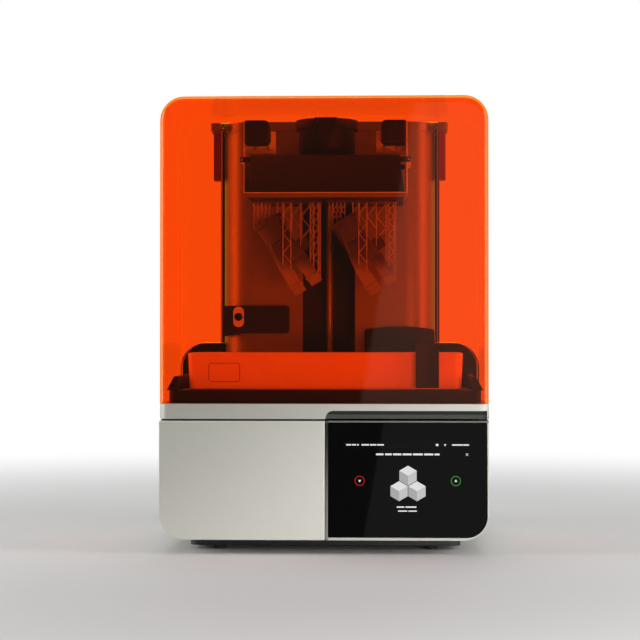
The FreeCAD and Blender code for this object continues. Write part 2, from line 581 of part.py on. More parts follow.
# Camera band and heater outlet wrapped on the tower's front corners
camera_face = [("-camera_side", "camera_low - 4"), ("-camera_side + 30", "camera_low"),
               ("camera_right", "camera_low", "camera_corner"),
               ("camera_right", "camera_high", "camera_corner"),
               ("-camera_side", "camera_high")]
keep("camera_band", cut(prism("XZ_Plane", camera_face, "camera_front", "wrap_depth"),
                        prism("XY_Plane", tower_plan("0"), "band_top", "tower_top")))
bezel_face = rectangle(("bezel_x - bezel_half", "bezel_x + bezel_half"),
                       ("bezel_z - bezel_rise", "bezel_z + bezel_rise"), "bezel_half - fit_gap")
keep("camera_bezel", prism("XZ_Plane", bezel_face, "camera_front - bezel_thick", "camera_front"))
lens_run = ("camera_front - bezel_thick - lens_thick", "camera_front - bezel_thick")
keep("camera_lens", rod("lens_radius", "y", *lens_run, "bezel_x", "bezel_z"))
heater_face = [("heater_left", "deck_top"), ("heater_right", "deck_top"),
               ("heater_right", "heater_high - heater_fall", "camera_corner"),
               ("(heater_left + heater_right) / 2", "heater_high + heater_rise", "heater_arch"),
               ("heater_left", "heater_high - heater_fall", "camera_corner")]
keep("heater_outlet", cut(prism("XZ_Plane", heater_face, "heater_front", "wrap_depth"),
                          prism("XY_Plane", tower_plan("0"), "band_top", "tower_top")))

# Mixer: drive arm hooked over the tank rim, and the blade inside
arm_x = ("mixer_left", "mixer_right")
arm_plate = box(arm_x, ("mixer_front", "mixer_front + mixer_plate"), ("mixer_low", "mixer_high"))
arm_bridge = box(arm_x, ("mixer_front", "mixer_inner"), ("mixer_bridge", "mixer_high"))
arm_leg = box(("mixer_left", "mixer_leg_right"), ("mixer_inner - mixer_leg", "mixer_inner"),
              ("blade_low", "mixer_high"))
keep("mixer_arm", fuse(arm_plate, arm_bridge, arm_leg))
keep("mixer_blade", box(("blade_left", "mixer_left"), ("mixer_inner - mixer_leg", "blade_rear"),
                        ("blade_low", "blade_high")))


# Tinted cover: even wall and soft edges, notched around the tower and arched over the housings
def cover_face(inset, low):
    half, high = f"half_width - {inset}", f"total_height - {inset}"
    radius = f"cover_corner - {inset}"
    return [(f"-({half})", low), (half, low), (half, high, radius), (f"-({half})", high, radius)]


near_zero = 1e-6


def cover_block(inset, low, front_r, rear_r):
    front, rear = f"front_y + {inset}", f"cover_rear - {inset}"
    block = prism("XZ_Plane", cover_face(inset, low), front, rear)
    bottom = number(low)
    for level, radius in ((number(front), front_r), (number(rear), rear_r)):
        rounded(block, lambda span: abs(span.YMin - level) + span.YLength < near_zero
                and span.ZMax > bottom + 1, radius)
    return block


notch = box(both("notch_half"), ("cover_rear - 3 * cover_wall", "cover_rear + 2"),
            ("cover_bottom - 5", "notch_top"))
arch_face = [("-arch_half", "cover_bottom - 5"), ("arch_half", "cover_bottom - 5"),
             ("arch_half", "arch_top", "housing_corner"), ("-arch_half", "arch_top", "housing_corner")]
arch = prism("XZ_Plane", arch_face, "cover_rear - cover_back_edge", "cover_rear + 2")
keep("cover_hood", cut(cover_block("0", "cover_bottom", "cover_edge", "cover_back_edge"),
                       cover_block("cover_wall", "cover_bottom - 5", "cover_edge - cover_wall",
                                   "cover_back_edge - cover_wall"), notch, arch))
arms = []
for turn in (tuple, mirrored):
    stem = box(turn(("arm_inner", "arm_outer")), ("cover_rear", "arm_rear"), ("arm_low", "cap_top"))
    crown = box(turn(("crown_inner", "crown_outer")), ("cover_rear", "arm_rear"), ("tower_top", "cap_top"))
    eye = rod("pin_radius", "x", *turn(("crown_inner - 1", "crown_outer - 1")), "hinge_y", "hinge_z")
    arms.append(cut(fuse(stem, crown), eye))
keep("hinge_arms", group(*arms))
pin_run = ("pin_inner", "crown_outer - 1")
keep("hinge_pins", group(rod("pin_radius", "x", *pin_run, "hinge_y", "hinge_z"),
                         rod("pin_radius", "x", *mirrored(pin_run), "hinge_y", "hinge_z")))

# Carriage on the rails, its nut and the arm to the platform
carriage_z = ("carriage_low", "carriage_high")
block_x = ("block_inner", "carriage_half")
groove_x = ("guide_x - guide_half - fit_gap", "guide_x + guide_half + fit_gap")
groove_y = ("column_front - guide_depth - fit_gap", "column_front")
block_y = ("carriage_mid", "carriage_rear")
carriage_body = fuse(box(both("carriage_half"), ("carriage_front", "carriage_mid"), carriage_z),
                     box(block_x, block_y, carriage_z), box(mirrored(block_x), block_y, carriage_z))
groove_z = ("carriage_low - 1", "carriage_high + 1")
grooves = [box(x, groove_y, groove_z) for x in (groove_x, mirrored(groove_x))]
keep("carriage_block", cut(carriage_body, *grooves))
nut_z = ("nut_low", "nut_high")
nut_core = fuse(rod("nut_radius", "z", *nut_z, 0, "screw_y"),
                box(both("nut_half"), ("carriage_mid", "screw_y"), nut_z))
nut_bore = rod("screw_radius + run_gap", "z", "nut_low - 1", "nut_high + 1", 0, "screw_y")
keep("lead_nut", cut(nut_core, nut_bore))
arm_z = ("arm_bottom", "arm_top")
keep("carriage_arm", box(both("arm_half"), ("arm_front", "carriage_front"), arm_z))

# Build plate, its box and the hub that hangs on the arm
plate_face = [("-plate_half", "plate_top"), ("-plate_half", "plate_lip"), ("-plate_slope", "plate_low"),
              ("plate_slope", "plate_low"), ("plate_half", "plate_lip"), ("plate_half", "plate_top")]
keep("build_plate", prism("XZ_Plane", plate_face, "plate_front", "plate_rear"))


def box_face(inset, low):
    wide, narrow, high = f"box_half_low - {inset}", f"box_half_high - {inset}", f"box_top - {inset}"
    return [(f"-({wide})", low), (wide, low), (narrow, high), (f"-({narrow})", high)]


box_solid = prism("XZ_Plane", box_face("0", "plate_top"), "box_front", "box_rear")
box_room = prism("XZ_Plane", box_face("box_wall", "plate_top - 1"),
                 "box_front + box_wall", "box_rear - box_wall")
lug_runs = [("side_front - lug_space - lug_thick", "side_front - lug_space"),
            ("side_rear + lug_space", "side_rear + lug_space + lug_thick")]
lug_z = ("pivot_z - lug_rise", "pivot_z + lug_rise")
lugs = [box(turn(("lug_inner", "lug_outer")), run, lug_z) for turn in (tuple, mirrored) for run in lug_runs]
pivot_run = (lug_runs[0][0], lug_runs[1][1])
pivot_rods = [rod("pivot_radius", "y", *pivot_run, x, "pivot_z") for x in both("pivot_x")]
keep("platform_box", cut(fuse(box_solid, *lugs), *pivot_rods, box_room))
keep("pivot_pins", group(*[rod("pivot_radius", "y", *pivot_run, x, "pivot_z") for x in both("pivot_x")]))
lever_mid = "lever_front + lever_thick / 2"
ear_x = ("lever_half + fit_gap", "lever_half + fit_gap + ear_thick")
ear_y = ("lever_front - 0.5", "lever_front + ear_depth")
ears = [box(turn(ear_x), ear_y, ("ear_low", "disc_top")) for turn in (tuple, mirrored)]
ear_hole = rod("lever_pin + run_gap", "x", "-lever_half - 3", "lever_half + 3", lever_mid, "lever_axis_z")
hub_lug = box(both("lug_half"), ("hub_y", "arm_front"), arm_z)
hub_body = fuse(rod("hub_radius", "z", "box_top", "hub_top", 0, "hub_y"),
                rod("disc_radius", "z", "hub_top", "disc_top", 0, "hub_y"), hub_lug, *ears)
keep("platform_hub", cut(hub_body, ear_hole))
lever_face = [("-lever_half", "disc_top"), ("-lever_half", "lever_low", "lever_corner"),
              ("lever_half", "lever_low", "lever_corner"), ("lever_half", "disc_top")]
lever_stub = rod("lever_pin", "x", "-lever_half - 2.5", "lever_half + 2.5", lever_mid, "lever_axis_z")
lever_tab = prism("XZ_Plane", lever_face, "lever_front", "lever_front + lever_thick")
keep("lock_lever", fuse(lever_tab, lever_stub))

# Squeeze grips: side plate, flange and knuckle in one, with a handle block
for side, turn in (("left", mirrored), ("right", tuple)):
    plate = box(turn(("side_inner", "side_outer")), ("side_front", "side_rear"), ("side_low", "side_top"))
    flange = box(turn(("flange_inner", "side_inner + 1")), ("flange_front", "flange_front + flange_thick"),
                 ("flange_low", "flange_top"))
    hinge_x = "pivot_x" if side == "right" else "-pivot_x"
    knuckle = rod("knuckle_radius", "y", "side_front", "side_rear", hinge_x, "pivot_z")
    pivot_room = rod("pivot_radius + run_gap", "y", "side_front - 1", "side_rear + 1", hinge_x, "pivot_z")
    keep(f"side_plate_{side}", cut(fuse(plate, flange, knuckle), pivot_room))
    grip_face = [("grip_inner", "grip_low", "grip_corner"), ("side_inner", "grip_low"),
                 ("side_inner", "side_top"), ("grip_inner", "side_top", "grip_corner")]
    grip_face = flipped(grip_face) if side == "left" else grip_face
    keep(f"squeeze_grip_{side}", prism("XZ_Plane", grip_face, "grip_front", "grip_rear"))


# Printed parts: a round inlet splitting into two square outlets, tilted, hanging on struts from a raft
def printed_part(shift):
    inlet = rod("inlet_radius", "z", "-inlet_long", 0, 0, 0)
    collar = rod("collar_radius", "z", "-collar_thick", 0, 0, 0)
    split = box(both("split_half"), both("inlet_radius"), ("-split_end", "-inlet_long + 4"))
    outlet_x = ("outlet_gap", "split_half")
    outlets = [box(x, both("outlet_half"), ("-outlet_end", "-split_end"))
               for x in (outlet_x, mirrored(outlet_x))]
    bore = rod("inlet_bore", "z", "-inlet_long", 1, 0, 0)
    channels = [rod("outlet_bore", "z", "-outlet_end - 1", "-split_end", x, 0)
                for x in both("(outlet_gap + split_half) / 2")]
    solid = cut(fuse(inlet, collar, split, *outlets), bore, *channels)
    solid.Placement.Rotation = FreeCAD.Rotation(FreeCAD.Vector(0, 1, 0), -sizes["print_tilt"])
    return placed(solid, f"print_x + {shift}", "hub_y", "print_z")


raft_z = ("plate_low - raft_thick", "plate_low")
for side, shift in (("left", "0"), ("right", "print_step")):
    solid = keep(f"printed_part_{side}", printed_part(shift))
    raft_x = (f"raft_left + {shift}", f"raft_right + {shift}")
    raft = box(raft_x, ("hub_y - raft_half", "hub_y + raft_half"), raft_z)
    struts = []
    for i in range(sizes["strut_count"]):
        reach = f"(strut_first + {i} * strut_pitch)"
        foot = f"print_z + strut_rise - {reach} / tan(print_tilt)"
        head = "plate_low - raft_thick / 2"
        struts += [rod("strut_radius", "z", foot, head, f"print_x + {shift} + {reach}", f"hub_y + {row}")
                   for row in both("strut_y")]
    keep(f"print_supports_{side}", cut(fuse(raft, *struts), solid))

# Check every object, then write each piece
doc.recompute()
for item in doc.Objects:
    if "Invalid" in item.State or "Error" in item.State:
        raise SystemExit(f"{item.Name} ({item.Label}) failed: {item.State}")
for label, item in pieces.items():
    if item.Shape.isNull() or not item.Shape.isValid() or not item.Shape.Solids:
        raise SystemExit(f"{label} has no valid solid")
os.makedirs("parts", exist_ok=True)
for label, item in pieces.items():
    item.Shape.exportStep(f"parts/{label}.step")
    span = item.Shape.optimalBoundingBox(False)
    print(f"{label}: {len(item.Shape.Solids)} solid(s), {item.Shape.Volume / 1000:.1f} cm3, "
          f"x {span.XMin:.1f}..{span.XMax:.1f}, y {span.YMin:.1f}..{span.YMax:.1f}, "
          f"z {span.ZMin:.1f}..{span.ZMax:.1f}")
print(f"{len(pieces)} pieces")
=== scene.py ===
import json
import math

import bmesh
import bpy
from mathutils import Matrix, Vector


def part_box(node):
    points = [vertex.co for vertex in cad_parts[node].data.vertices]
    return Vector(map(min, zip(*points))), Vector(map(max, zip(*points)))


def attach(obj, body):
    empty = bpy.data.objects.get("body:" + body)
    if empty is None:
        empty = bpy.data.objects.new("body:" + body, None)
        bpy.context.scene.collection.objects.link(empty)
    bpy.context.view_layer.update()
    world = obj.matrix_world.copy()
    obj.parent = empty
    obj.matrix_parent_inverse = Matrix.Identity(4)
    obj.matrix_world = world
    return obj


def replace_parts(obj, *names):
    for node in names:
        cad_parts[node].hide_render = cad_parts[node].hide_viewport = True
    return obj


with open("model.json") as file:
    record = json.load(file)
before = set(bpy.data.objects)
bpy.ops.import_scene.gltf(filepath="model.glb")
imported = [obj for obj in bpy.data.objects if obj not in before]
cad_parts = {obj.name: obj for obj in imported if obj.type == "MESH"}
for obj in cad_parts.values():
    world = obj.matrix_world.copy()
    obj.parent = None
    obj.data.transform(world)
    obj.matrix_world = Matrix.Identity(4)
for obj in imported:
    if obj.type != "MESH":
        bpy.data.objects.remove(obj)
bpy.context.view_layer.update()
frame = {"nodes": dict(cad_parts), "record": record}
nodes = frame["nodes"]
mm = 0.001
print("frame loaded:", len(nodes), "nodes")


# shader sockets as values: operators add Math nodes
class Value:
    def __init__(self, finish, socket):
        self.finish = finish
        self.socket = socket

    def maths(self, operation, *others):
        return self.finish.add("ShaderNodeMath", {"operation": operation}, *others)

    def __add__(self, other):
        return self.maths("ADD", self, other)

    def __radd__(self, other):
        return self.maths("ADD", other, self)

    def __sub__(self, other):
        return self.maths("SUBTRACT", self, other)

    def __rsub__(self, other):
        return self.maths("SUBTRACT", other, self)

    def __mul__(self, other):
        return self.maths("MULTIPLY", self, other)

    def __pow__(self, other):
        return self.maths("POWER", self, other)

    def above(self, other):
        return self.maths("GREATER_THAN", self, other)

    def atMost(self, other):
        return self.maths("MINIMUM", self, other)

    def wave(self):
        return self.maths("SINE", self)


# one material: add() makes any node from its type, settings and sockets
class Finish:
    def __init__(self, name):
        self.material = bpy.data.materials.new(name)
        self.material.use_nodes = True
        self.tree = self.material.node_tree
        self.tree.nodes.clear()
        self.out = self.tree.nodes.new("ShaderNodeOutputMaterial")

    def feed(self, socket, value):
        if isinstance(value, Value):
            self.tree.links.new(value.socket, socket)
        else:
            socket.default_value = value

    def add(self, kind, settings=None, *inputs, output=0, **named):
        node = self.tree.nodes.new(kind)
        for key, value in (settings or {}).items():
            setattr(node, key, value)
        for socket, value in zip(node.inputs, inputs):
            self.feed(socket, value)
        for key, value in named.items():
            self.feed(node.inputs[key.replace("_", " ")], value)
        return Value(self, node.outputs[output])

    def spot(self):
        return self.add("ShaderNodeTexCoord", output="Object")

    def axes(self):
        split = self.add("ShaderNodeSeparateXYZ", None, self.spot()).socket.node
        return [Value(self, split.outputs[i]) for i in range(3)]

    def noise(self, scale, detail=2.0, vector=None):
        return self.add("ShaderNodeTexNoise", None, Vector=vector or self.spot(), Scale=scale, Detail=detail)

    def stretched(self, scale, detail=3.0):
        return self.noise(2.0, detail, self.add("ShaderNodeMapping", None, Vector=self.spot(), Scale=scale))

    def ease(self, value, low, high):
        smooth = {"interpolation_type": "SMOOTHSTEP"}
        return self.add("ShaderNodeMapRange", smooth, value, low, high, 0.0, 1.0)

    def blend(self, factor, first, second):
        mix = self.tree.nodes.new("ShaderNodeMix")
        mix.data_type = "RGBA"
        self.feed(mix.inputs[0], factor)
        for socket, value in ((mix.inputs[6], first), (mix.inputs[7], second)):
            self.feed(socket, value if isinstance(value, Value) else (*value, 1.0))
        return Value(self, mix.outputs[2])

    def bump(self, height, strength, distance):
        return self.add("ShaderNodeBump", None, Height=height, Strength=strength, Distance=distance)

    def over(self, factor, under, top):
        return self.add("ShaderNodeMixShader", None, factor, under, top)

    def shade(self, shader):
        self.tree.links.new(shader.socket, self.out.inputs["Surface"])
        return self.material

    def principled(self, **sockets):
        return self.add("ShaderNodeBsdfPrincipled", None, **sockets)

    def plain(self, **sockets):
        return self.shade(self.principled(**sockets))


def rgb(red, green, blue):  # screen values 0 to 255 as linear light
    def linear(part):
        part = part / 255
        return part / 12.92 if part < 0.0405 else ((part + 0.055) / 1.055) ** 2.4
    return (linear(red), linear(green), linear(blue))


def rgba(colour):
    return (*colour, 1.0)


# finishes
def silverCoat(name="silverCoat", shade=None):
    finish = Finish(name)
    grain = finish.noise(1500, 2)
    cloud = finish.noise(7, 3)
    tone = finish.blend(cloud, rgb(206, 205, 195), rgb(213, 212, 202))
    tone = finish.blend(grain.above(0.62) * 0.4, tone, rgb(232, 231, 223))
    if shade:
        tone = shade(finish, tone)
    return finish.plain(Base_Color=tone, Metallic=0.35, Roughness=0.48 + grain * 0.12,
                        Normal=finish.bump(grain, 0.1, 0.0002))


def moulded(name, low, high, rough, metal=0.0, gloss=0.5):
    finish = Finish(name)
    pebble = finish.add("ShaderNodeTexVoronoi", {"feature": "SMOOTH_F1"}, Vector=finish.spot(), Scale=900)
    cloud = finish.noise(14, 4)
    tone = finish.blend(cloud, rgb(*low), rgb(*high))
    return finish.plain(Base_Color=tone, Metallic=metal, Roughness=rough + cloud * 0.14,
                        Specular_IOR_Level=gloss, Normal=finish.bump(pebble, 0.22, 0.0003))


def blackPaint():
    finish = Finish("blackPaint")
    skin = finish.noise(420, 3)
    tone = finish.blend(finish.noise(8, 2), rgb(17, 17, 18), rgb(25, 24, 25))
    return finish.plain(Base_Color=tone, Metallic=0.2, Roughness=0.4 + skin * 0.14,
                        Normal=finish.bump(skin, 0.18, 0.0004))


def blackRubber():
    finish = Finish("blackRubber")
    grit = finish.noise(600, 3)
    tone = finish.blend(grit, rgb(26, 26, 26), rgb(42, 41, 41))
    return finish.plain(Base_Color=tone, Roughness=0.8 + grit * 0.12, Normal=finish.bump(grit, 0.3, 0.0003))


def displayFace():
    finish = Finish("displayFace")
    smear = finish.noise(11, 5)
    tone = finish.blend(smear, (0.0012, 0.0012, 0.0013), (0.0022, 0.0022, 0.0024))
    return finish.plain(Base_Color=tone, Roughness=0.01 + smear * 0.02, IOR=1.26)


def coverPane():  # the tint multiplies at each face crossed
    finish = Finish("orangeCover")
    dust = finish.noise(46, 6)
    see = finish.add("ShaderNodeBsdfTransparent", None, Color=(1.0, 0.505, 0.1, 1))
    shine = finish.add("ShaderNodeBsdfGlossy", None, Color=(1.0, 0.93, 0.86, 1), Roughness=0.02 + dust * 0.02)
    haze = finish.add("ShaderNodeBsdfDiffuse", None, Color=(1.0, 0.16, 0.01, 1))
    milk = finish.over(finish.ease(dust, 0.5, 0.9) * 0.003 + 0.0006, see, haze)
    slant = finish.add("ShaderNodeLayerWeight", None, 0.5, output="Facing")
    return finish.shade(finish.over(slant ** 4 * 0.14 + 0.024, milk, shine))


def coverEdgeGlow():  # painted glow: cut edges shine with emission for the light that the sheet gathers
    finish = Finish("orangeCutEdge")
    saw = finish.noise(300, 2)
    tone = finish.blend(saw, rgb(255, 176, 52), rgb(255, 138, 26))
    return finish.plain(Base_Color=tone, Roughness=0.35 + saw * 0.2, Emission_Color=tone,
                        Emission_Strength=0.55)


def tankShell():
    finish = Finish("orangeTank")
    flow = finish.noise(22, 3)
    tone = finish.blend(flow, rgb(255, 196, 88), rgb(255, 184, 76))
    see = finish.add("ShaderNodeBsdfTransparent", None, Color=(1.0, 0.46, 0.1, 1))
    # painted glow: a faint emission stands in for light coming through the tank's walls
    body = finish.principled(Base_Color=tone, Roughness=0.22 + flow * 0.12, Emission_Color=tone,
                             Emission_Strength=0.07)
    return finish.shade(finish.over(0.86 + flow * 0.1, see, body))


def clearFilm():
    finish = Finish("clearFilm")
    see = finish.add("ShaderNodeBsdfTransparent", None, Color=(0.9, 0.9, 0.9, 1))
    smear = finish.noise(60)
    shine = finish.add("ShaderNodeBsdfGlossy", None, Color=(1, 1, 1, 1), Roughness=0.08 + smear * 0.05)
    return finish.shade(finish.over(0.12, see, shine))


def machinedAluminium():
    finish = Finish("machinedAluminium")
    line = finish.stretched((40, 900, 900))
    tone = finish.blend(line, rgb(182, 183, 186), rgb(212, 213, 215))
    return finish.plain(Base_Color=tone, Metallic=0.85, Roughness=0.34 + line * 0.16,
                        Normal=finish.bump(line, 0.15, 0.0002))


def groundSteel():
    finish = Finish("groundSteel")
    line = finish.stretched((700, 700, 30))
    tone = finish.blend(line, rgb(170, 170, 172), rgb(206, 206, 206))
    return finish.plain(Base_Color=tone, Metallic=0.5, Roughness=0.28 + line * 0.16,
                        Normal=finish.bump(line, 0.12, 0.0002))


def turnedBrass():
    finish = Finish("turnedBrass")
    ringing = (finish.axes()[2] * 6000).wave() * 0.5 + 0.5
    tone = finish.blend(ringing, rgb(190, 150, 78), rgb(214, 178, 104))
    return finish.plain(Base_Color=tone, Metallic=1.0, Roughness=0.28 + ringing * 0.1)


def circuitBoard():
    finish = Finish("circuitBoard")
    track = finish.add("ShaderNodeTexBrick", None, Vector=finish.spot(), Color1=rgba(rgb(14, 92, 50)),
                       Color2=rgba(rgb(18, 104, 58)), Mortar=rgba(rgb(64, 140, 84)), Scale=60.0)
    return finish.plain(Base_Color=track, Roughness=0.42 + finish.noise(80) * 0.15)


resinLook = {"layers": 20900, "foot": (0.338, 0.366)}  # 0.3 mm layers, and the heights in metres where the painted light at the foot fades


def curedResin(name, low, high, foot=None):
    finish = Finish(name)
    up = finish.axes()[2]
    layer = (up * resinLook["layers"]).wave() * 0.5 + 0.5
    tone = finish.blend(finish.noise(30, 3), rgb(*low), rgb(*high))
    if foot:  # painted light: the lowest ends are paler
        tone = finish.blend(finish.ease(up, *resinLook["foot"]), rgb(*foot), tone)
    return finish.plain(Base_Color=tone, Roughness=0.32 + layer * 0.12,
                        Normal=finish.bump(layer, 0.3, 0.0002))


def screenGlow(name, colour):
    finish = Finish(name)
    grid = finish.noise(2600, 0)
    lit = finish.blend(grid, colour, tuple(part * 0.86 for part in colour))
    return finish.plain(Base_Color=(0, 0, 0, 1), Roughness=0.04, IOR=1.26, Emission_Color=lit,
                        Emission_Strength=1.0)


finishes = {
    "silver_metal": silverCoat(),
    "dark_sheet": blackPaint(),
    "black_plastic": moulded("blackMould", (15, 15, 16), (23, 22, 23), 0.46, gloss=0.3),
    "grey_plastic": moulded("greyMould", (136, 134, 131), (148, 146, 143), 0.32, 0.4),
    "rubber_black": blackRubber(),
    "display_glass": displayFace(),
    "cover_tint": coverPane(),
    "tank_tint": tankShell(),
    "clear_film": clearFilm(),
    "aluminium": machinedAluminium(),
    "steel": groundSteel(),
    "brass": turnedBrass(),
    "board_green": circuitBoard(),
    # painted shade: the parts' resin is darkened, as they lie in shade under the platform
    "printed_resin": curedResin("curedResin", (62, 60, 59), (76, 74, 72), (156, 151, 148)),
}
slotOf = {part["node"]: part["material_slot"] for part in frame["record"]["subparts"]}
bodyOf = {name: body for body, names in frame["record"]["behaviour"]["bodies"].items() for name in names}
for name, slotName in slotOf.items():
    mesh = nodes[name].data
    mesh.materials.clear()
    mesh.materials.append(finishes[slotName])
print("finishes on the CAD nodes")


# new pieces
def finishPiece(name, shape, slotName, body, material=None, sharp=35):
    bmesh.ops.remove_doubles(shape, verts=shape.verts, dist=1e-7)
    bmesh.ops.recalc_face_normals(shape, faces=shape.faces)
    mesh = bpy.data.meshes.new(name)
    shape.to_mesh(mesh)
    shape.free()
    piece = bpy.data.objects.new(name, mesh)
    bpy.context.scene.collection.objects.link(piece)
    mesh.materials.append(material or finishes[slotName])
    mesh.shade_smooth()
    mesh.set_sharp_from_angle(angle=math.radians(sharp))
    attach(piece, body)
    return piece


def addBlock(shape, low, high, turn=None):
    low, high = Vector(low), Vector(high)
    place = Matrix.Translation((low + high) / 2) @ (turn or Matrix()) @ Matrix.Diagonal((*(high - low), 1))
    return bmesh.ops.create_cube(shape, size=1, matrix=place)["verts"]


def addRod(shape, start, end, radius, sides=20, radiusEnd=None):
    start, end = Vector(start), Vector(end)
    along = end - start
    turn = along.to_track_quat("Z", "Y").to_matrix().to_4x4()
    return bmesh.ops.create_cone(shape, cap_ends=True, segments=sides, radius1=radius,
                                 radius2=radius if radiusEnd is None else radiusEnd, depth=along.length,
                                 matrix=Matrix.Translation((start + end) / 2) @ turn)["verts"]


def soften(shape, edges, width, segments=2):
    if edges:
        bmesh.ops.bevel(shape, geom=edges, offset=width, affect="EDGES", segments=segments, profile=0.5,
                        material=-1, clamp_overlap=True)


def edgesOf(verts):
    return list(dict.fromkeys(edge for vert in verts for edge in vert.link_edges))


def sharpEdges(shape, angle=32):
    limit = math.radians(angle)
    return [edge for edge in shape.edges if len(edge.link_faces) == 2 and edge.calc_face_angle() > limit]


def mergedCopy(name):
    shape = bmesh.new()
    shape.from_mesh(nodes[name].data)
    bmesh.ops.remove_doubles(shape, verts=shape.verts, dist=1e-6)
    bmesh.ops.dissolve_limit(shape, angle_limit=math.radians(0.4), verts=shape.verts, edges=shape.edges)
    return shape


def softNode(name, width, segments=2, change=None, extra=None, own=None):
    shape = mergedCopy(name)
    if change:
        change(shape)
    soften(shape, sharpEdges(shape), width * mm, segments)
    piece = finishPiece(name + "Soft", shape, slotOf[name], bodyOf[name], own, sharp=20)
    if extra:
        piece.data.materials.append(extra)
    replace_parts(piece, name)


def facesWhere(shape, pick):
    shape.faces.ensure_lookup_table()
    return [face for face in shape.faces if pick(face.calc_center_median() / mm, face.normal)]


# moulded and folded pieces get softened edges, in mm
softWidths = {
    "rubber_feet": 1.2, "base_pan": 0.6, "rear_panel": 0.5, "deck": 0.8, "tank_rails": 0.6, "tower_cap": 0.8,
    "rear_housings": 0.7, "camera_band": 0.7, "heater_outlet": 1.4, "hinge_arms": 0.8, "platform_hub": 1.2,
    "lock_lever": 0.7, "squeeze_grip_left": 2.6, "squeeze_grip_right": 2.6, "carriage_arm": 0.8,
    "resin_cartridge": 1.0, "power_inlet": 0.5, "switch_frame": 0.4, "power_switch": 0.4, "mixer_blade": 0.8,
}
for name, width in softWidths.items():
    softNode(name, width, 3 if width > 1 else 2)
print("edges softened on", len(softWidths), "pieces")


def recessFront(margin, depth):
    def change(shape):
        front = min(vert.co.y for vert in shape.verts) / mm
        faces = facesWhere(shape, lambda spot, normal: normal.y < -0.95 and spot.y < front + 0.3)
        bmesh.ops.inset_region(shape, faces=faces, thickness=margin * mm, depth=-depth * mm,
                               use_even_offset=True)
    return change


def creaseFront(mesh, front, reach):  # the flat front shades flat up to its rims
    for edge in mesh.edges:
        ends = [mesh.vertices[index].co / mm for index in edge.vertices]
        if all(end.y < front and abs(end.x) < reach for end in ends):
            edge.use_edge_sharp = True


# the scoop's place in mm, and the heights of its painted shade in metres
scoop = {"left": 20, "top": 173, "near": -182, "far": -160, "facing": 0.9, "shade": (0.1672, 0.1684)}


# the scoop's inner faces take the second material, its painted shade
def scoopFaces(shape):
    def inside(spot):
        return spot.x > scoop["left"] and spot.z < scoop["top"] and scoop["near"] < spot.y < scoop["far"]

    def inward(normal):
        return max(-normal.y, -normal.z, abs(normal.x)) > scoop["facing"]

    for face in facesWhere(shape, lambda spot, normal: inside(spot) and inward(normal)):
        face.material_index = 1


def scoopPaintedShade():  # painted shade: the scoop is darker under its ceiling
    finish = Finish("scoopPaintedShade")
    up = finish.axes()[2]
    tone = finish.blend(finish.ease(up, *scoop["shade"]), rgb(74, 76, 70), rgb(16, 17, 14))
    grain = finish.noise(1500, 2)
    return finish.plain(Base_Color=tone, Metallic=0.1, Roughness=0.55 + grain * 0.12,
                        Normal=finish.bump(grain, 0.1, 0.0002))


# places of painted light and shade on silver and build plate, in metres
frameShadowSpans = {"fall": (0.02, 0.15), "left": (0.0052, 0.0062), "top": (0.1572, 0.158), "topShare": 0.8}
panelLitSpans = {"lean": 0.6, "fall": (-0.29, 0.01), "edge": (0.1593, 0.1597)}
bandLitSpans = {"fall": (-0.2, 0.2)}
grainShare = 0.25
plateLitAndShadedSpans = {"under": (0.4341, 0.4346), "edge": (0.4394, 0.4400)}


def paintFrameShade(finish, tone):  # painted shade: darker left of the glass, more so towards the top, and above it
    across, _, up = finish.axes()
    beside = finish.blend(finish.ease(up, *frameShadowSpans["fall"]), rgb(140, 142, 131), rgb(30, 32, 28))
    tone = finish.blend(1.0 - finish.ease(across, *frameShadowSpans["left"]), tone, beside)
    return finish.blend(finish.ease(up, *frameShadowSpans["top"]) * frameShadowSpans["topShare"], tone, rgb(96, 98, 90))


def paintPanelLight(finish, tone):  # painted light: lighter towards the display and the foot, with a painted highlight along the top edge
    across, _, up = finish.axes()
    slope = finish.ease(across * panelLitSpans["lean"] - up, *panelLitSpans["fall"])
    fall = finish.blend(slope, rgb(188, 187, 177), rgb(241, 240, 231))
    tone = finish.blend(grainShare, fall, tone)
    return finish.blend(finish.ease(up, *panelLitSpans["edge"]), tone, rgb(252, 251, 247))


def paintBandLight(finish, tone):  # painted light: lighter towards the right
    slope = finish.ease(finish.axes()[0], *bandLitSpans["fall"])
    fall = finish.blend(slope, rgb(172, 171, 162), rgb(202, 201, 192))
    return finish.blend(grainShare, fall, tone)


def blastedPlate():
    finish = Finish("blastedPlate")
    grain = finish.noise(900, 3)
    up = finish.axes()[2]
    tone = finish.blend(grain, rgb(118, 117, 118), rgb(140, 139, 140))
    tone = finish.blend(finish.ease(up, *plateLitAndShadedSpans["under"]), rgb(38, 37, 38), tone)  # painted shade on the underside
    tone = finish.blend(finish.ease(up, *plateLitAndShadedSpans["edge"]), tone, rgb(228, 227, 226))  # painted highlight on the upper edge
    return finish.plain(Base_Color=tone, Metallic=0.4, Roughness=0.46 + grain * 0.16,
                        Normal=finish.bump(grain, 0.2, 0.0002))


def paleLitSteel():  # painted light: a paler copy of the steel, so the satin sheet reads bright, most of all on its cut edges
    finish = Finish("paleLitSteel")
    grain = finish.stretched((500, 60, 500))
    tone = finish.blend(grain, rgb(222, 221, 219), rgb(240, 239, 237))
    return finish.plain(Base_Color=tone, Metallic=0.15, Roughness=0.36 + grain * 0.14)


def paleRing():
    finish = Finish("paleRing")
    grain = finish.noise(700, 3)
    tone = finish.blend(grain, rgb(226, 225, 222), rgb(238, 237, 234))
    return finish.plain(Base_Color=tone, Roughness=0.3 + grain * 0.12)


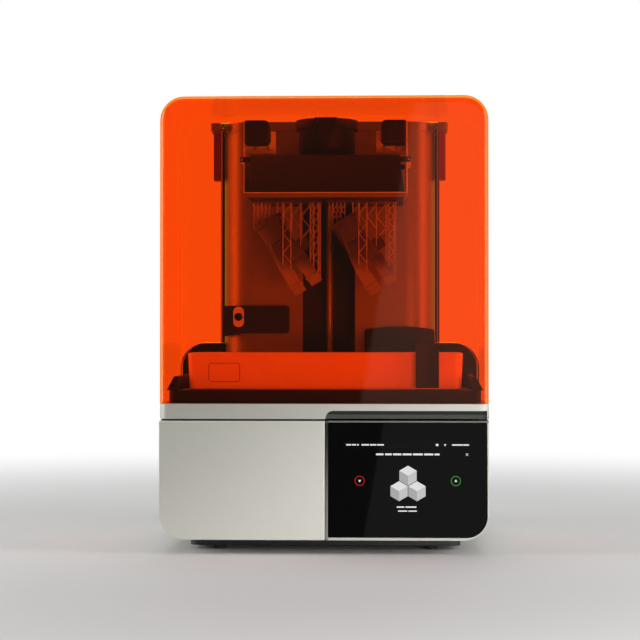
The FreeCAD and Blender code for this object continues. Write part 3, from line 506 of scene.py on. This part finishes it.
softNode("front_panel", 0.9, own=silverCoat("panelPaintedLight", paintPanelLight))
softNode("top_band", 0.6, 2, scoopFaces, scoopPaintedShade(), silverCoat("bandPaintedLight", paintBandLight))
creaseFront(bpy.data.objects["top_bandSoft"].data, -183.49, 186)
softNode("display_frame", 0.5, own=silverCoat("framePaintedShade", paintFrameShade))
softNode("build_plate", 0.5, own=blastedPlate())
for side in ("left", "right"):
    softNode("side_plate_" + side, 0.3, own=paleLitSteel())
softNode("camera_bezel", 0.6, own=paleRing())
softNode("platform_box", 0.7, 2, recessFront(2.2, 0.7))
softNode("mixer_arm", 0.9, 2, recessFront(4.6, 1.6))
softNode("resin_tank", 1.3, 3)

# cover: the sawn edges of notch and arch as thin lips with a painted glow
coverLips = {"rise": 0.12, "thick": 0.2, "front": 33.2, "top": 549, "side": 195.95, "facing": 0.12}


def makeCoverLips():
    shape = mergedCopy("cover_hood")

    def sawn(spot, normal):
        inside = spot.z < coverLips["top"] and abs(spot.x) < coverLips["side"]
        return inside and spot.y > coverLips["front"] and abs(normal.y) < coverLips["facing"]

    keep = set(facesWhere(shape, sawn))
    bmesh.ops.delete(shape, geom=[face for face in shape.faces if face not in keep], context="FACES")
    shape.normal_update()
    for vert in shape.verts:
        vert.co += vert.normal * coverLips["rise"] * mm
    bmesh.ops.solidify(shape, geom=shape.faces[:], thickness=coverLips["thick"] * mm)
    finishPiece("coverCutEdges", shape, "cover_tint", "cover", coverEdgeGlow())


# black brush strips close the gap between cover notch and tower, a dark piece standing in for the shade there
gapShadeBrush = {"x": (141.2, 147.0), "y": (66.5, 72.0), "high": 533.5, "gap": 0.3, "round": 0.5,
             "ribs": 90, "ribRadius": 0.9, "ribY": (-0.5, 1.0), "capX": 142.8, "padX": 126.0,
             "padZ": (546.1, 549.6)}
hingeBoss = {"x": (142.9, 157.2), "y": (27.0, 42.5), "z": (534.5, 546.5), "round": 3.0}


def makeGapShadeBrush():
    shape = bmesh.new()
    near, far = (y * mm for y in gapShadeBrush["y"])
    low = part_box("rear_housings")[1][2] / mm + gapShadeBrush["gap"]
    high = gapShadeBrush["high"]
    padLow, padHigh = gapShadeBrush["padZ"]
    step = (high - low) / gapShadeBrush["ribs"]
    ribNear, ribFar = (near + y * mm for y in gapShadeBrush["ribY"])

    def addStrip(first, second, bottom, top):
        left, right = sorted((first, second))
        block = addBlock(shape, (left, near, bottom * mm), (right, far, top * mm))
        soften(shape, edgesOf(block), gapShadeBrush["round"] * mm)

    for sign in (-1, 1):
        inner, outer = (sign * x * mm for x in gapShadeBrush["x"])
        addStrip(inner, outer, low, high)
        addStrip(sign * gapShadeBrush["capX"] * mm, outer, high, padHigh)
        addStrip(sign * gapShadeBrush["padX"] * mm, outer, padLow, padHigh)
        middle = (inner + outer) / 2
        for i in range(gapShadeBrush["ribs"]):
            level = (low + step * (i + 0.5)) * mm
            addRod(shape, (middle, ribNear, level), (middle, ribFar, level), gapShadeBrush["ribRadius"] * mm, 6)
    finishPiece("gapShadeBrush", shape, "rubber_black", "base")


def makeHingeBosses():
    shape = bmesh.new()
    near, far = (y * mm for y in hingeBoss["y"])
    low, high = (z * mm for z in hingeBoss["z"])
    for sign in (-1, 1):
        ends = sorted(sign * x * mm for x in hingeBoss["x"])
        block = addBlock(shape, (ends[0], near, low), (ends[1], far, high))
        soften(shape, edgesOf(block), hingeBoss["round"] * mm, 4)
    finishPiece("hingeBosses", shape, "grey_plastic", "cover")


makeCoverLips()
makeGapShadeBrush()
makeHingeBosses()
print("cover edges and seal done")

# tank: a rounded outline raised on the front wall, left
tankMark = {"middle": (-124.3, 218.0), "size": (39.0, 23.6), "corner": 4.2, "line": 0.7, "rise": 0.15,
            "thick": 0.2, "wallArea": 0.002}


def tankLine():
    finish = Finish("tankMarkLine")
    wear = finish.noise(120, 3)
    tone = finish.blend(wear, rgb(168, 52, 6), rgb(140, 40, 4))
    return finish.plain(Base_Color=tone, Roughness=0.45 + wear * 0.2)


def makeTankMark():
    copy = mergedCopy("resin_tank")
    forward = facesWhere(copy, lambda spot, normal: normal.y < -0.95)
    walls = [face for face in forward if face.calc_area() > tankMark["wallArea"]]
    front = min(walls, key=lambda face: face.calc_center_median().y)
    normal, middle = front.normal.copy(), front.calc_center_median()
    copy.free()
    x, z = tankMark["middle"]
    level = middle.y - (z * mm - middle.z) * normal.z / normal.y
    shape = bmesh.new()
    wide, tall = (size * mm for size in tankMark["size"])
    bmesh.ops.create_grid(shape, x_segments=1, y_segments=1, size=0.5,
                          matrix=Matrix.Diagonal((wide, tall, 1, 1)))
    bmesh.ops.bevel(shape, geom=shape.verts[:], offset=tankMark["corner"] * mm, affect="VERTICES", segments=6,
                    profile=0.5, material=-1)
    line = bmesh.ops.inset_region(shape, faces=shape.faces[:], thickness=tankMark["line"] * mm,
                                  use_boundary=True)["faces"]
    bmesh.ops.delete(shape, geom=[face for face in shape.faces if face not in set(line)], context="FACES")
    bmesh.ops.solidify(shape, geom=shape.faces[:], thickness=tankMark["thick"] * mm)
    lean = normal.to_track_quat("Z", "Y").to_matrix().to_4x4()
    place = Matrix.Translation((x * mm, level - tankMark["rise"] * mm, z * mm)) @ lean
    bmesh.ops.transform(shape, matrix=place, verts=shape.verts)
    finishPiece("tankMark", shape, "tank_tint", "base", tankLine())


makeTankMark()

# chamber camera: stepped ring round a domed glass
lens = {"x": -118.5, "z": 288.4,
        "profile": [(5.2, 10.0), (5.2, 8.5), (4.8, 8.0), (4.0, 8.0), (3.7, 9.0), (3.3, 9.0), (2.7, 8.6),
                    (1.6, 8.3), (0.0, 8.2)]}
rightward, backward, upward = Vector((1, 0, 0)), Vector((0, 1, 0)), Vector((0, 0, 1))


def spun(shape, profile, middle, axis, across, steps=48):
    rim = [shape.verts.new(middle + across * radius * mm + axis * along * mm) for radius, along in profile]
    edges = [shape.edges.new(pair) for pair in zip(rim, rim[1:])]
    bmesh.ops.spin(shape, geom=rim + edges, cent=middle, axis=axis, angle=math.tau, steps=steps,
                   use_merge=True)


def makeLens():
    shape = bmesh.new()
    middle = Vector((lens["x"] * mm, 0, lens["z"] * mm))
    spun(shape, lens["profile"], middle, backward, rightward)
    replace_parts(finishPiece("chamberLens", shape, "display_glass", "base"), "camera_lens")


makeLens()
print("tank and chamber camera done")

# squeeze grips: two rivets in each flange
rivets = {"across": (72.1, 88.7), "z": 499.4, "y": -94.8,
          "profile": [(2.6, 0.3), (2.6, -0.3), (2.2, -0.9), (1.3, -1.3), (0.0, -1.45)]}


def makeRivets(side, sign):
    shape = bmesh.new()
    for x in rivets["across"]:
        middle = Vector((sign * x * mm, rivets["y"] * mm, rivets["z"] * mm))
        spun(shape, rivets["profile"], middle, backward, rightward, 20)
    finishPiece(f"gripRivets{side}", shape, "steel", f"grip_{side.lower()}")


makeRivets("Left", -1)
makeRivets("Right", 1)

# printed manifolds: flanged pipe, swelling body, two square outlets and a side port
manifold = {"spots": {"left": -77.0, "right": 19.0}, "y": -57.0, "z": 411.0, "tilt": 32.0,
            "pipe": [(13.0, -31.0), (13.0, 0.0), (19.2, 0.0), (20.0, -0.8), (20.0, -5.2), (19.2, -6.0),
                     (17.6, -6.0), (17.0, -6.8), (17.0, -31.0)],
            "bolts": 6, "boltReach": 16.6, "boltRadius": 1.7, "boltZ": (-0.5, 0.9),
            "body": (20.0, 17.0, -64.0, -28.0), "bodyTop": (0.74, 0.86, 1), "bodyRound": 5,
            "outlet": (4.0, 20.0, 9.0, -102.0, -62.0), "mouth": 2.4, "mouthDeep": 12,
            "rim": 1.4, "collar": (9, 12.5), "collarRound": 0.6, "port": (18.0, 31.0, 7.0, -58.0, -42.0)}


def addOutlet(shape, x, y, z, out):  # block with its end face along out hollowed
    verts = addBlock(shape, (x[0] * mm, y[0] * mm, z[0] * mm), (x[1] * mm, y[1] * mm, z[1] * mm))
    shape.normal_update()
    faces = list({face for vert in verts for face in vert.link_faces if face.normal.dot(out) > 0.95})
    bmesh.ops.inset_region(shape, faces=faces, thickness=manifold["mouth"] * mm)
    pushed = bmesh.ops.extrude_discrete_faces(shape, faces=faces)["faces"]
    inward = -out * manifold["mouthDeep"] * mm
    bmesh.ops.translate(shape, vec=inward, verts=[vert for face in pushed for vert in face.verts])


def makeManifold(side):
    shape = bmesh.new()
    spun(shape, manifold["pipe"], Vector(), upward, rightward, 56)
    boltLow, boltHigh = (Vector((0, 0, z * mm)) for z in manifold["boltZ"])
    for i in range(manifold["bolts"]):
        angle = math.tau * (i + 0.5) / manifold["bolts"]
        spot = Vector((math.cos(angle), math.sin(angle), 0)) * manifold["boltReach"] * mm
        addRod(shape, spot + boltLow, spot + boltHigh, manifold["boltRadius"] * mm, 6)
    halfX, halfY, low, high = manifold["body"]
    body = addBlock(shape, (-halfX * mm, -halfY * mm, low * mm), (halfX * mm, halfY * mm, high * mm))
    top = [vert for vert in body if vert.co.z > (high - 1) * mm]
    bmesh.ops.scale(shape, vec=manifold["bodyTop"], verts=top)
    soften(shape, edgesOf(body), manifold["bodyRound"] * mm, 4)
    inner, outer, half, end, start = manifold["outlet"]
    rim = manifold["rim"]
    collarLow, collarHigh = (end + z for z in manifold["collar"])
    for left, right in ((inner, outer), (-outer, -inner)):
        addOutlet(shape, (left, right), (-half, half), (end, start), -upward)
        collar = addBlock(shape, ((left - rim) * mm, -(half + rim) * mm, collarLow * mm),
                          ((right + rim) * mm, (half + rim) * mm, collarHigh * mm))
        soften(shape, edgesOf(collar), manifold["collarRound"] * mm)
    reachIn, reachOut, portHalf, portLow, portHigh = manifold["port"]
    addOutlet(shape, (reachIn, reachOut), (-portHalf, portHalf), (portLow, portHigh), rightward)
    place = (Matrix.Translation((manifold["spots"][side] * mm, manifold["y"] * mm, manifold["z"] * mm))
             @ Matrix.Rotation(math.radians(-manifold["tilt"]), 4, "Y"))
    bmesh.ops.transform(shape, matrix=place, verts=shape.verts)
    piece = finishPiece(f"manifold{side.title()}", shape, "printed_resin", "carriage")
    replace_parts(piece, f"printed_part_{side}")


# supports: raft, struts down to the part, and zig-zag braces between neighbours
supports = {"raftTop": 434.0, "raft": 1.5, "raftX": (-19.0, 71.0), "raftHalf": 27.0,
            "raftTaper": (0.96, 0.94, 1),
            "thick": 0.54, "tip": 0.3, "tipRise": 2.5, "tipReach": (0.0, 0.0, -3.0),
            "brace": 0.4, "slope": 1.25, "braceTop": 2, "braceStep": 5.0,
            "flange": (-16.0, -11.0, -6.0, -1.0, 4.0), "flangeEnd": 10, "flangeSink": 0.4,
            "flangeRows": (-9.0, 9.0),
            "long": (14.0, 22.0, 32.0, 44.0, 56.0, 60.0, 66.0, 68.6), "longRows": (-12.0, 10.0),
            "pipeEnd": 30, "pipeHalf": 16.4, "bodyHalf": 20.0, "sideSink": 1.2,
            "front": (22.0, 32.0), "frontRow": -19.0, "frontFeet": (352.0, 347.0),
            "frontReach": (1.5, 9.0, -4.0)}
# painted light: the struts get a far paler copy of the parts' resin, for the side light they catch
strutResinLit = curedResin("strutResinLit", (178, 174, 171), (196, 192, 189))


def strutFoot(offset):  # height of the part's upper side at this offset
    slope = math.radians(manifold["tilt"])
    if offset < supports["flangeEnd"]:
        return manifold["z"] + offset * math.tan(slope) - supports["flangeSink"]
    half = supports["pipeHalf"] if offset < supports["pipeEnd"] else supports["bodyHalf"]
    return manifold["z"] + half / math.sin(slope) - offset / math.tan(slope) - supports["sideSink"]


def addStrut(shape, x, y, foot, top, reach):
    start = Vector((x, y, foot + supports["tipRise"])) * mm
    addRod(shape, start, (x * mm, y * mm, top * mm), supports["thick"] * mm, 8)
    addRod(shape, start + Vector(reach) * mm, start, supports["tip"] * mm, 8, supports["thick"] * mm)


def addBraces(shape, first, second, y, low, top):
    pitch = max(abs(second - first) * supports["slope"], supports["braceStep"])
    level, flip = top - supports["braceTop"], False
    while level - pitch > low:
        here, there = (first, second) if flip else (second, first)
        upper = Vector((here, y, level)) * mm
        lower = Vector((there, y, level - pitch)) * mm
        addRod(shape, upper, lower, supports["brace"] * mm, 6)
        level, flip = level - pitch, not flip


def makeSupports(side):
    shape = bmesh.new()
    start = manifold["spots"][side]
    top = supports["raftTop"] - supports["raft"]
    left, right = (start + x for x in supports["raftX"])
    near, far = manifold["y"] - supports["raftHalf"], manifold["y"] + supports["raftHalf"]
    raft = addBlock(shape, (left * mm, near * mm, top * mm), (right * mm, far * mm, supports["raftTop"] * mm))
    for face in shape.faces:  # the raft keeps the parts' darker tone, a painted shade
        face.material_index = 1
    under = [vert for vert in raft if vert.co.z < (top + 0.1) * mm]
    bmesh.ops.scale(shape, vec=supports["raftTaper"], verts=under,
                    space=Matrix.Translation((-(left + right) / 2 * mm, -manifold["y"] * mm, 0)))
    rows = [(supports["flange"], row, None) for row in supports["flangeRows"]]
    rows += [(supports["long"], row, None) for row in supports["longRows"]]
    rows.append((supports["front"], supports["frontRow"], supports["frontFeet"]))
    for run, row, given in rows:
        y = manifold["y"] + row
        feet = given or [strutFoot(offset) for offset in run]
        reach = supports["frontReach"] if given else supports["tipReach"]
        for offset, foot in zip(run, feet):
            addStrut(shape, start + offset, y, foot, top, reach)
        for i in range(len(run) - 1):
            addBraces(shape, start + run[i], start + run[i + 1], y, max(feet[i], feet[i + 1]), top)
    piece = finishPiece(f"supports{side.title()}", shape, "printed_resin", "carriage", strutResinLit)
    piece.data.materials.append(finishes["printed_resin"])
    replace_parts(piece, f"print_supports_{side}")


for side in manifold["spots"]:
    makeManifold(side)
    makeSupports(side)
print("prints and supports hung")

# display: everything is drawn in the plane of the leaning glass, in mm from its middle
glass = {"back": 10, "tall": 143.4, "front": -183.2, "foot": 17}
screen = {"proud": 0.06, "strip": (0.5, 42.3, 155, 8.6),
          "words": {42.3: [(-71, 6), (-64.5, 5), (-59.8, 2), (-51, 9), (-41.5, 8), (-32.5, 8), (60, 13),
                           (70.5, 7)],
                    30.9: [(-33.5, 9), (-23, 8), (-12.5, 10), (-0.5, 11), (12.5, 12), (25.5, 11), (35.5, 6)],
                    -32.3: [(-8.5, 9), (4, 13)], -37.1: [(-6, 11), (6, 10)]},
          "tall": {42.3: 1.7, 30.9: 2.2, -32.3: 1.7, -37.1: 1.4},
          "block": (35.6, 42.3, 3.0, 2.6), "signal": (45.2, 42.4, 1.8), "close": (71.6, 30.9, 4.0, 0.55),
          "red": (-57.7, -1.0), "green": (58.0, -1.0), "arrow": 2.0, "ring": (6.0, 0.8),
          "picture": (0.5, -4.0, 12.4), "pictureShare": 0.97}
glassLow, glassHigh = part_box("display_glass")
glassLean = math.atan2(glass["back"], glass["tall"])
glassMid = Vector(((glassLow[0] + glassHigh[0]) / 2, 0, (glassLow[2] + glassHigh[2]) / 2))
glassFront = glass["front"] * mm + (glassMid.z - glass["foot"] * mm) * math.tan(glassLean)
screenPlace = (Matrix.Translation((glassMid.x, glassFront - screen["proud"] * mm, glassMid.z))
               @ Matrix.Rotation(-glassLean, 4, "X") @ Matrix.Rotation(math.pi / 2, 4, "X"))


def addBar(shape, x, z, width, height, turn=0.0):
    flat = (Matrix.Translation((x * mm, z * mm, 0)) @ Matrix.Rotation(math.radians(turn), 4, "Z")
            @ Matrix.Diagonal((width * mm, height * mm, 1, 1)))
    bmesh.ops.create_grid(shape, x_segments=1, y_segments=1, size=0.5, matrix=flat)


def addDisc(shape, x, z, radius, sides=40, turn=0.0):
    flat = Matrix.Translation((x * mm, z * mm, 0)) @ Matrix.Rotation(math.radians(turn), 4, "Z")
    return bmesh.ops.create_circle(shape, cap_ends=True, segments=sides, radius=radius * mm,
                                   matrix=flat)["verts"]


def addRing(shape, x, z, radius, width):
    rim = addDisc(shape, x, z, radius)
    face = list(rim[0].link_faces)
    bmesh.ops.inset_individual(shape, faces=face, thickness=width * mm)
    bmesh.ops.delete(shape, geom=face, context="FACES")


def screenPiece(name, shape, colour):
    bmesh.ops.transform(shape, matrix=screenPlace, verts=shape.verts)
    finishPiece(name, shape, "display_glass", "base", screenGlow(name, colour))


def makeScreen():
    strip = bmesh.new()
    addBar(strip, *screen["strip"])
    bmesh.ops.translate(strip, vec=(0, 0, -screen["proud"] * mm / 2), verts=strip.verts)  # under the marks
    screenPiece("screenStrip", strip, rgb(8, 8, 9))
    marks = bmesh.new()
    for level, words in screen["words"].items():
        for x, width in words:
            addBar(marks, x, level, width, screen["tall"][level])
    addBar(marks, *screen["block"])
    addDisc(marks, *screen["signal"], 3, 180)
    for turn in (45, -45):
        addBar(marks, *screen["close"], turn)
    addDisc(marks, *screen["red"], screen["arrow"], 3, 180)
    addDisc(marks, *screen["green"], screen["arrow"], 3)
    screenPiece("screenMarks", marks, (0.85, 0.85, 0.85))
    for name, middle, colour in (("screenRedRing", screen["red"], rgb(198, 36, 24)),
                                 ("screenGreenRing", screen["green"], rgb(58, 160, 44))):
        ring = bmesh.new()
        addRing(ring, *middle, *screen["ring"])
        screenPiece(name, ring, colour)


def makePicture():  # three stacked blocks seen from a corner, one piece for each lit side
    x, z, size = screen["picture"]
    step = size * math.cos(math.radians(30))
    spots = [(x, z + size * 0.75), (x - step, z - size * 0.75), (x + step, z - size * 0.75)]
    sides = (("pictureTop", 30, 0.78), ("pictureLeft", 150, 0.42), ("pictureRight", 270, 0.58))
    for name, first, tone in sides:
        side = bmesh.new()
        for spot in spots:
            middle = Vector((*spot, 0)) * mm
            rim = [middle + Vector((math.cos(turn), math.sin(turn), 0)) * size * screen["pictureShare"] * mm
                   for turn in (math.radians(first + 60 * i) for i in range(3))]
            side.faces.new([side.verts.new(corner) for corner in (middle, *rim)])
        screenPiece(name, side, (tone, tone, tone))


makeScreen()
makePicture()
print("display drawn")

# lead screw: a round core with four spun threads of one lead
thread = {"core": 4.2, "crest": 5.0, "lap": 0.05, "lead": 8.0, "low": 199.0, "high": 521.0,
          "ends": (150.0, 528.0), "y": 52.0, "steps": 20, "starts": 4,
          "profile": [(4.2, 0.0), (5.0, 0.03), (5.0, 0.1), (4.2, 0.13)]}


def makeThread():
    shape = bmesh.new()
    y, pitch = thread["y"] * mm, thread["lead"] * mm
    turns = int((thread["high"] - thread["low"]) / thread["lead"]) - 1
    for start in range(thread["starts"]):
        low = thread["low"] * mm + pitch * start / thread["starts"]
        rim = [shape.verts.new((radius * mm, y, low + rise * pitch)) for radius, rise in thread["profile"]]
        edges = [shape.edges.new(pair) for pair in zip(rim, rim[1:])]
        bmesh.ops.spin(shape, geom=rim + edges, cent=(0, y, 0), axis=upward,
                       dvec=(0, 0, pitch / thread["steps"]), angle=turns * math.tau,
                       steps=turns * thread["steps"])
    bottom, top = thread["ends"]
    for start, end, radius in ((bottom, top, thread["core"] + thread["lap"]),
                               (bottom, thread["low"], thread["crest"]),
                               (thread["high"], top, thread["crest"])):
        addRod(shape, (0, y, start * mm), (0, y, end * mm), radius * mm, 32)
    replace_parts(finishPiece("screwThread", shape, "steel", "screw"), "lead_screw")


makeThread()
print("lead screw cut")

# rear: louvred outlet, screws, rocker marks
rear = {"y": 183.5, "louvre": (44.0, 150.0, 52.0, 132.0), "frame": 4.0, "frameY": (-0.4, 1.4), "round": 0.5,
        "blades": 9, "bladeY": (-0.3, 0.9), "bladeShare": 0.36, "bladeLean": 0.8, "bladeLap": 1,
        "panelScrews": [(-190, 150), (190, 150), (-160, 28), (160, 28), (0, 150), (0, 28)],
        "towerScrews": [(-120, 205), (120, 205), (-120, 500), (120, 500)],
        "screw": 3.2, "screwY": (-0.5, 1.3), "socket": 1.4, "socketDeep": 1.0}
rocker = {"middle": (-98, 180.56, 72), "bar": (0, 4.2, 0.9, 3.4), "ring": (0, -4.2, 1.7, 0.6), "thick": 0.1}


def makeLouvre():
    left, right, low, high = rear["louvre"]
    back, out = (rear["y"] + y for y in rear["frameY"])
    shape = bmesh.new()
    edge = rear["frame"]
    for x, z in (((left, right), (low, low + edge)), ((left, right), (high - edge, high)),
                 ((left, left + edge), (low, high)), ((right - edge, right), (low, high))):
        bar = addBlock(shape, (x[0] * mm, back * mm, z[0] * mm), (x[1] * mm, out * mm, z[1] * mm))
        soften(shape, edgesOf(bar), rear["round"] * mm)
    step = (high - low - 2 * edge) / rear["blades"]
    half = rear["bladeShare"] * step
    start, end = left + edge - rear["bladeLap"], right - edge + rear["bladeLap"]
    bladeBack, bladeOut = (rear["y"] + y for y in rear["bladeY"])
    for i in range(rear["blades"]):
        level = low + edge + step * (i + 0.5)
        blade = addBlock(shape, (start * mm, bladeBack * mm, (level - half) * mm),
                         (end * mm, bladeOut * mm, (level + half) * mm))
        upper = [vert for vert in blade if vert.co.y > rear["y"] * mm and vert.co.z > level * mm]
        bmesh.ops.translate(shape, vec=(0, -rear["bladeLean"] * mm, 0), verts=upper)
    finishPiece("rearLouvre", shape, "black_plastic", "base")


def makeScrews(name, spots, y):
    shape = bmesh.new()
    low, high = (y + part for part in rear["screwY"])
    for x, z in spots:
        head = addRod(shape, (x * mm, low * mm, z * mm), (x * mm, high * mm, z * mm), rear["screw"] * mm, 24)
        shape.normal_update()
        rim = [edge for edge in edgesOf(head) if all(vert.co.y > y * mm for vert in edge.verts)]
        soften(shape, rim, rear["round"] * mm)
        middle = Vector((x, high, z))
        caps = facesWhere(shape, lambda spot, normal: normal.y > 0.95 and (spot - middle).length < 0.5)
        bmesh.ops.inset_region(shape, faces=caps, thickness=rear["socket"] * mm)
        shape.normal_update()
        hole = bmesh.ops.extrude_discrete_faces(shape, faces=caps)["faces"]
        bmesh.ops.translate(shape, vec=(0, -rear["socketDeep"] * mm, 0),
                            verts=[vert for face in hole for vert in face.verts])
    finishPiece(name, shape, "steel", "base")


def makeRockerMarks():
    shape = bmesh.new()
    upright = Matrix.Rotation(math.pi / 2, 4, "X")
    place = Matrix.Translation([part * mm for part in rocker["middle"]]) @ upright
    addBar(shape, *rocker["bar"])
    addRing(shape, *rocker["ring"])
    bmesh.ops.transform(shape, matrix=place, verts=shape.verts)
    bmesh.ops.solidify(shape, geom=shape.faces[:], thickness=rocker["thick"] * mm)
    finishPiece("rockerMarks", shape, "silver_metal", "rocker")


makeLouvre()
makeScrews("rearScrews", rear["panelScrews"], rear["y"])
makeScrews("towerScrews", rear["towerScrews"], rear["y"])
makeRockerMarks()
print("rear side dressed")

# camera, floor and light
camera = {"spot": (0.074, -2.3335, 0.258), "vanish": (385, 340), "pixels": 640, "focal": 2150 / 1.2036,
          "sensor": 36, "clip": (0.05, 60)}


def makeCamera():
    data = bpy.data.cameras.new("photoCamera")
    data.sensor_width = camera["sensor"]
    data.lens = camera["sensor"] * camera["focal"] / camera["pixels"]
    data.clip_start, data.clip_end = camera["clip"]
    eye = bpy.data.objects.new("photoCamera", data)
    bpy.context.scene.collection.objects.link(eye)
    middle = camera["pixels"] / 2
    yaw = math.atan2(camera["vanish"][0] - middle, camera["focal"])
    pitch = math.atan2(camera["vanish"][1] - middle, camera["focal"])
    turn = Matrix.Rotation(yaw, 4, "Z") @ Matrix.Rotation(math.pi / 2 + pitch, 4, "X")
    eye.matrix_world = Matrix.Translation(camera["spot"]) @ turn
    bpy.context.scene.camera = eye


studio = {"half": 40.0, "front": -56.0, "wallY": 2.8, "wallTop": 5.0, "bend": 1.1,
          "tone": (0.72, 0.72, 0.715), "fade": (0.5, 1.9), "sky": (0.5, 0.5, 0.5, 1), "skyStrength": 0.28}


def paleSweep():  # pale floor that keeps the shadow, white further off
    finish = Finish("paleSweep")
    across, along, up = finish.axes()
    cloud = finish.noise(0.7, 2)
    tone = finish.blend(cloud, studio["tone"], tuple(part * 0.97 for part in studio["tone"]))
    distance = (across * across + along * along + up * up) ** 0.5
    seen = finish.add("ShaderNodeLightPath", output="Is Camera Ray")
    glossy = finish.add("ShaderNodeLightPath", output="Is Glossy Ray")
    passed = finish.add("ShaderNodeLightPath", output="Is Transmission Ray")
    mirrored = (glossy + passed).atMost(1.0) * finish.ease(along, *studio["fade"])  # behind the object only
    share = seen * finish.ease(distance, *studio["fade"]) + mirrored
    white = finish.add("ShaderNodeEmission", None, Color=(1, 1, 1, 1), Strength=1.0)
    return finish.shade(finish.over(share, finish.principled(Base_Color=tone, Roughness=0.85), white))


def makeStudio():
    shape = bmesh.new()
    half = studio["half"]
    front = [shape.verts.new((x, studio["front"], 0)) for x in (-half, half)]
    rearEdge = [shape.verts.new((x, studio["wallY"], 0)) for x in (half, -half)]
    top = [shape.verts.new((x, studio["wallY"], studio["wallTop"])) for x in (half, -half)]
    shape.faces.new(front + rearEdge)
    shape.faces.new([rearEdge[1], rearEdge[0], top[0], top[1]])
    fold = [edge for edge in shape.edges if set(edge.verts) == set(rearEdge)]
    bmesh.ops.bevel(shape, geom=fold, offset=studio["bend"], affect="EDGES", segments=18, profile=0.5,
                    material=-1)
    mesh = bpy.data.meshes.new("studioFloor")
    shape.to_mesh(mesh)
    shape.free()
    mesh.shade_smooth()
    floor = bpy.data.objects.new("studioFloor", mesh)
    bpy.context.scene.collection.objects.link(floor)
    mesh.materials.append(paleSweep())


lamps = {  # place, target, size, watts, roll
    "keyTop": ((0.0, 0.05, 2.4), (0.0, 0.0, 0.2), (1.6, 1.0), 14, 0.0),
    "frontSoftbox": ((0.89, -3.2, 0.42), (-0.12, 0.0, 0.30), (1.7, 2.4), 5.2, -11.4),
    "rightLow": ((0.6, -1.3, 0.07), (-0.08, -0.18, 0.06), (0.6, 0.12), 5.2, 0.0),
    "leftStrip": ((-2.0, -0.35, 0.6), (0.0, 0.0, 0.3), (1.0, 1.6), 29, 0.0),
    "rightStrip": ((2.0, -0.6, 0.6), (0.0, 0.0, 0.3), (1.0, 1.6), 29, 0.0),
    "rearGlow": ((0.0, 2.0, 1.7), (0.0, 0.0, 0.3), (1.6, 1.0), 12, 0.0),
}


def makeLamp(name, spot, target, size, power, roll):
    data = bpy.data.lights.new(name, "AREA")
    data.shape = "RECTANGLE"
    data.size, data.size_y = size
    data.energy = power
    lamp = bpy.data.objects.new(name, data)
    bpy.context.scene.collection.objects.link(lamp)
    aim = (Vector(target) - Vector(spot)).to_track_quat("-Z", "Y").to_matrix().to_4x4()
    lamp.matrix_world = Matrix.Translation(spot) @ aim @ Matrix.Rotation(math.radians(roll), 4, "Z")


def makeLights():
    for name, settings in lamps.items():
        makeLamp(name, *settings)
    world = bpy.data.worlds.new("studioWorld")
    world.use_nodes = True
    sky = world.node_tree.nodes["Background"].inputs
    sky["Color"].default_value = studio["sky"]
    sky["Strength"].default_value = studio["skyStrength"]
    bpy.context.scene.world = world
    bpy.context.scene.view_settings.view_transform = "Standard"


makeCamera()
makeStudio()
makeLights()
print("camera, floor and light set")
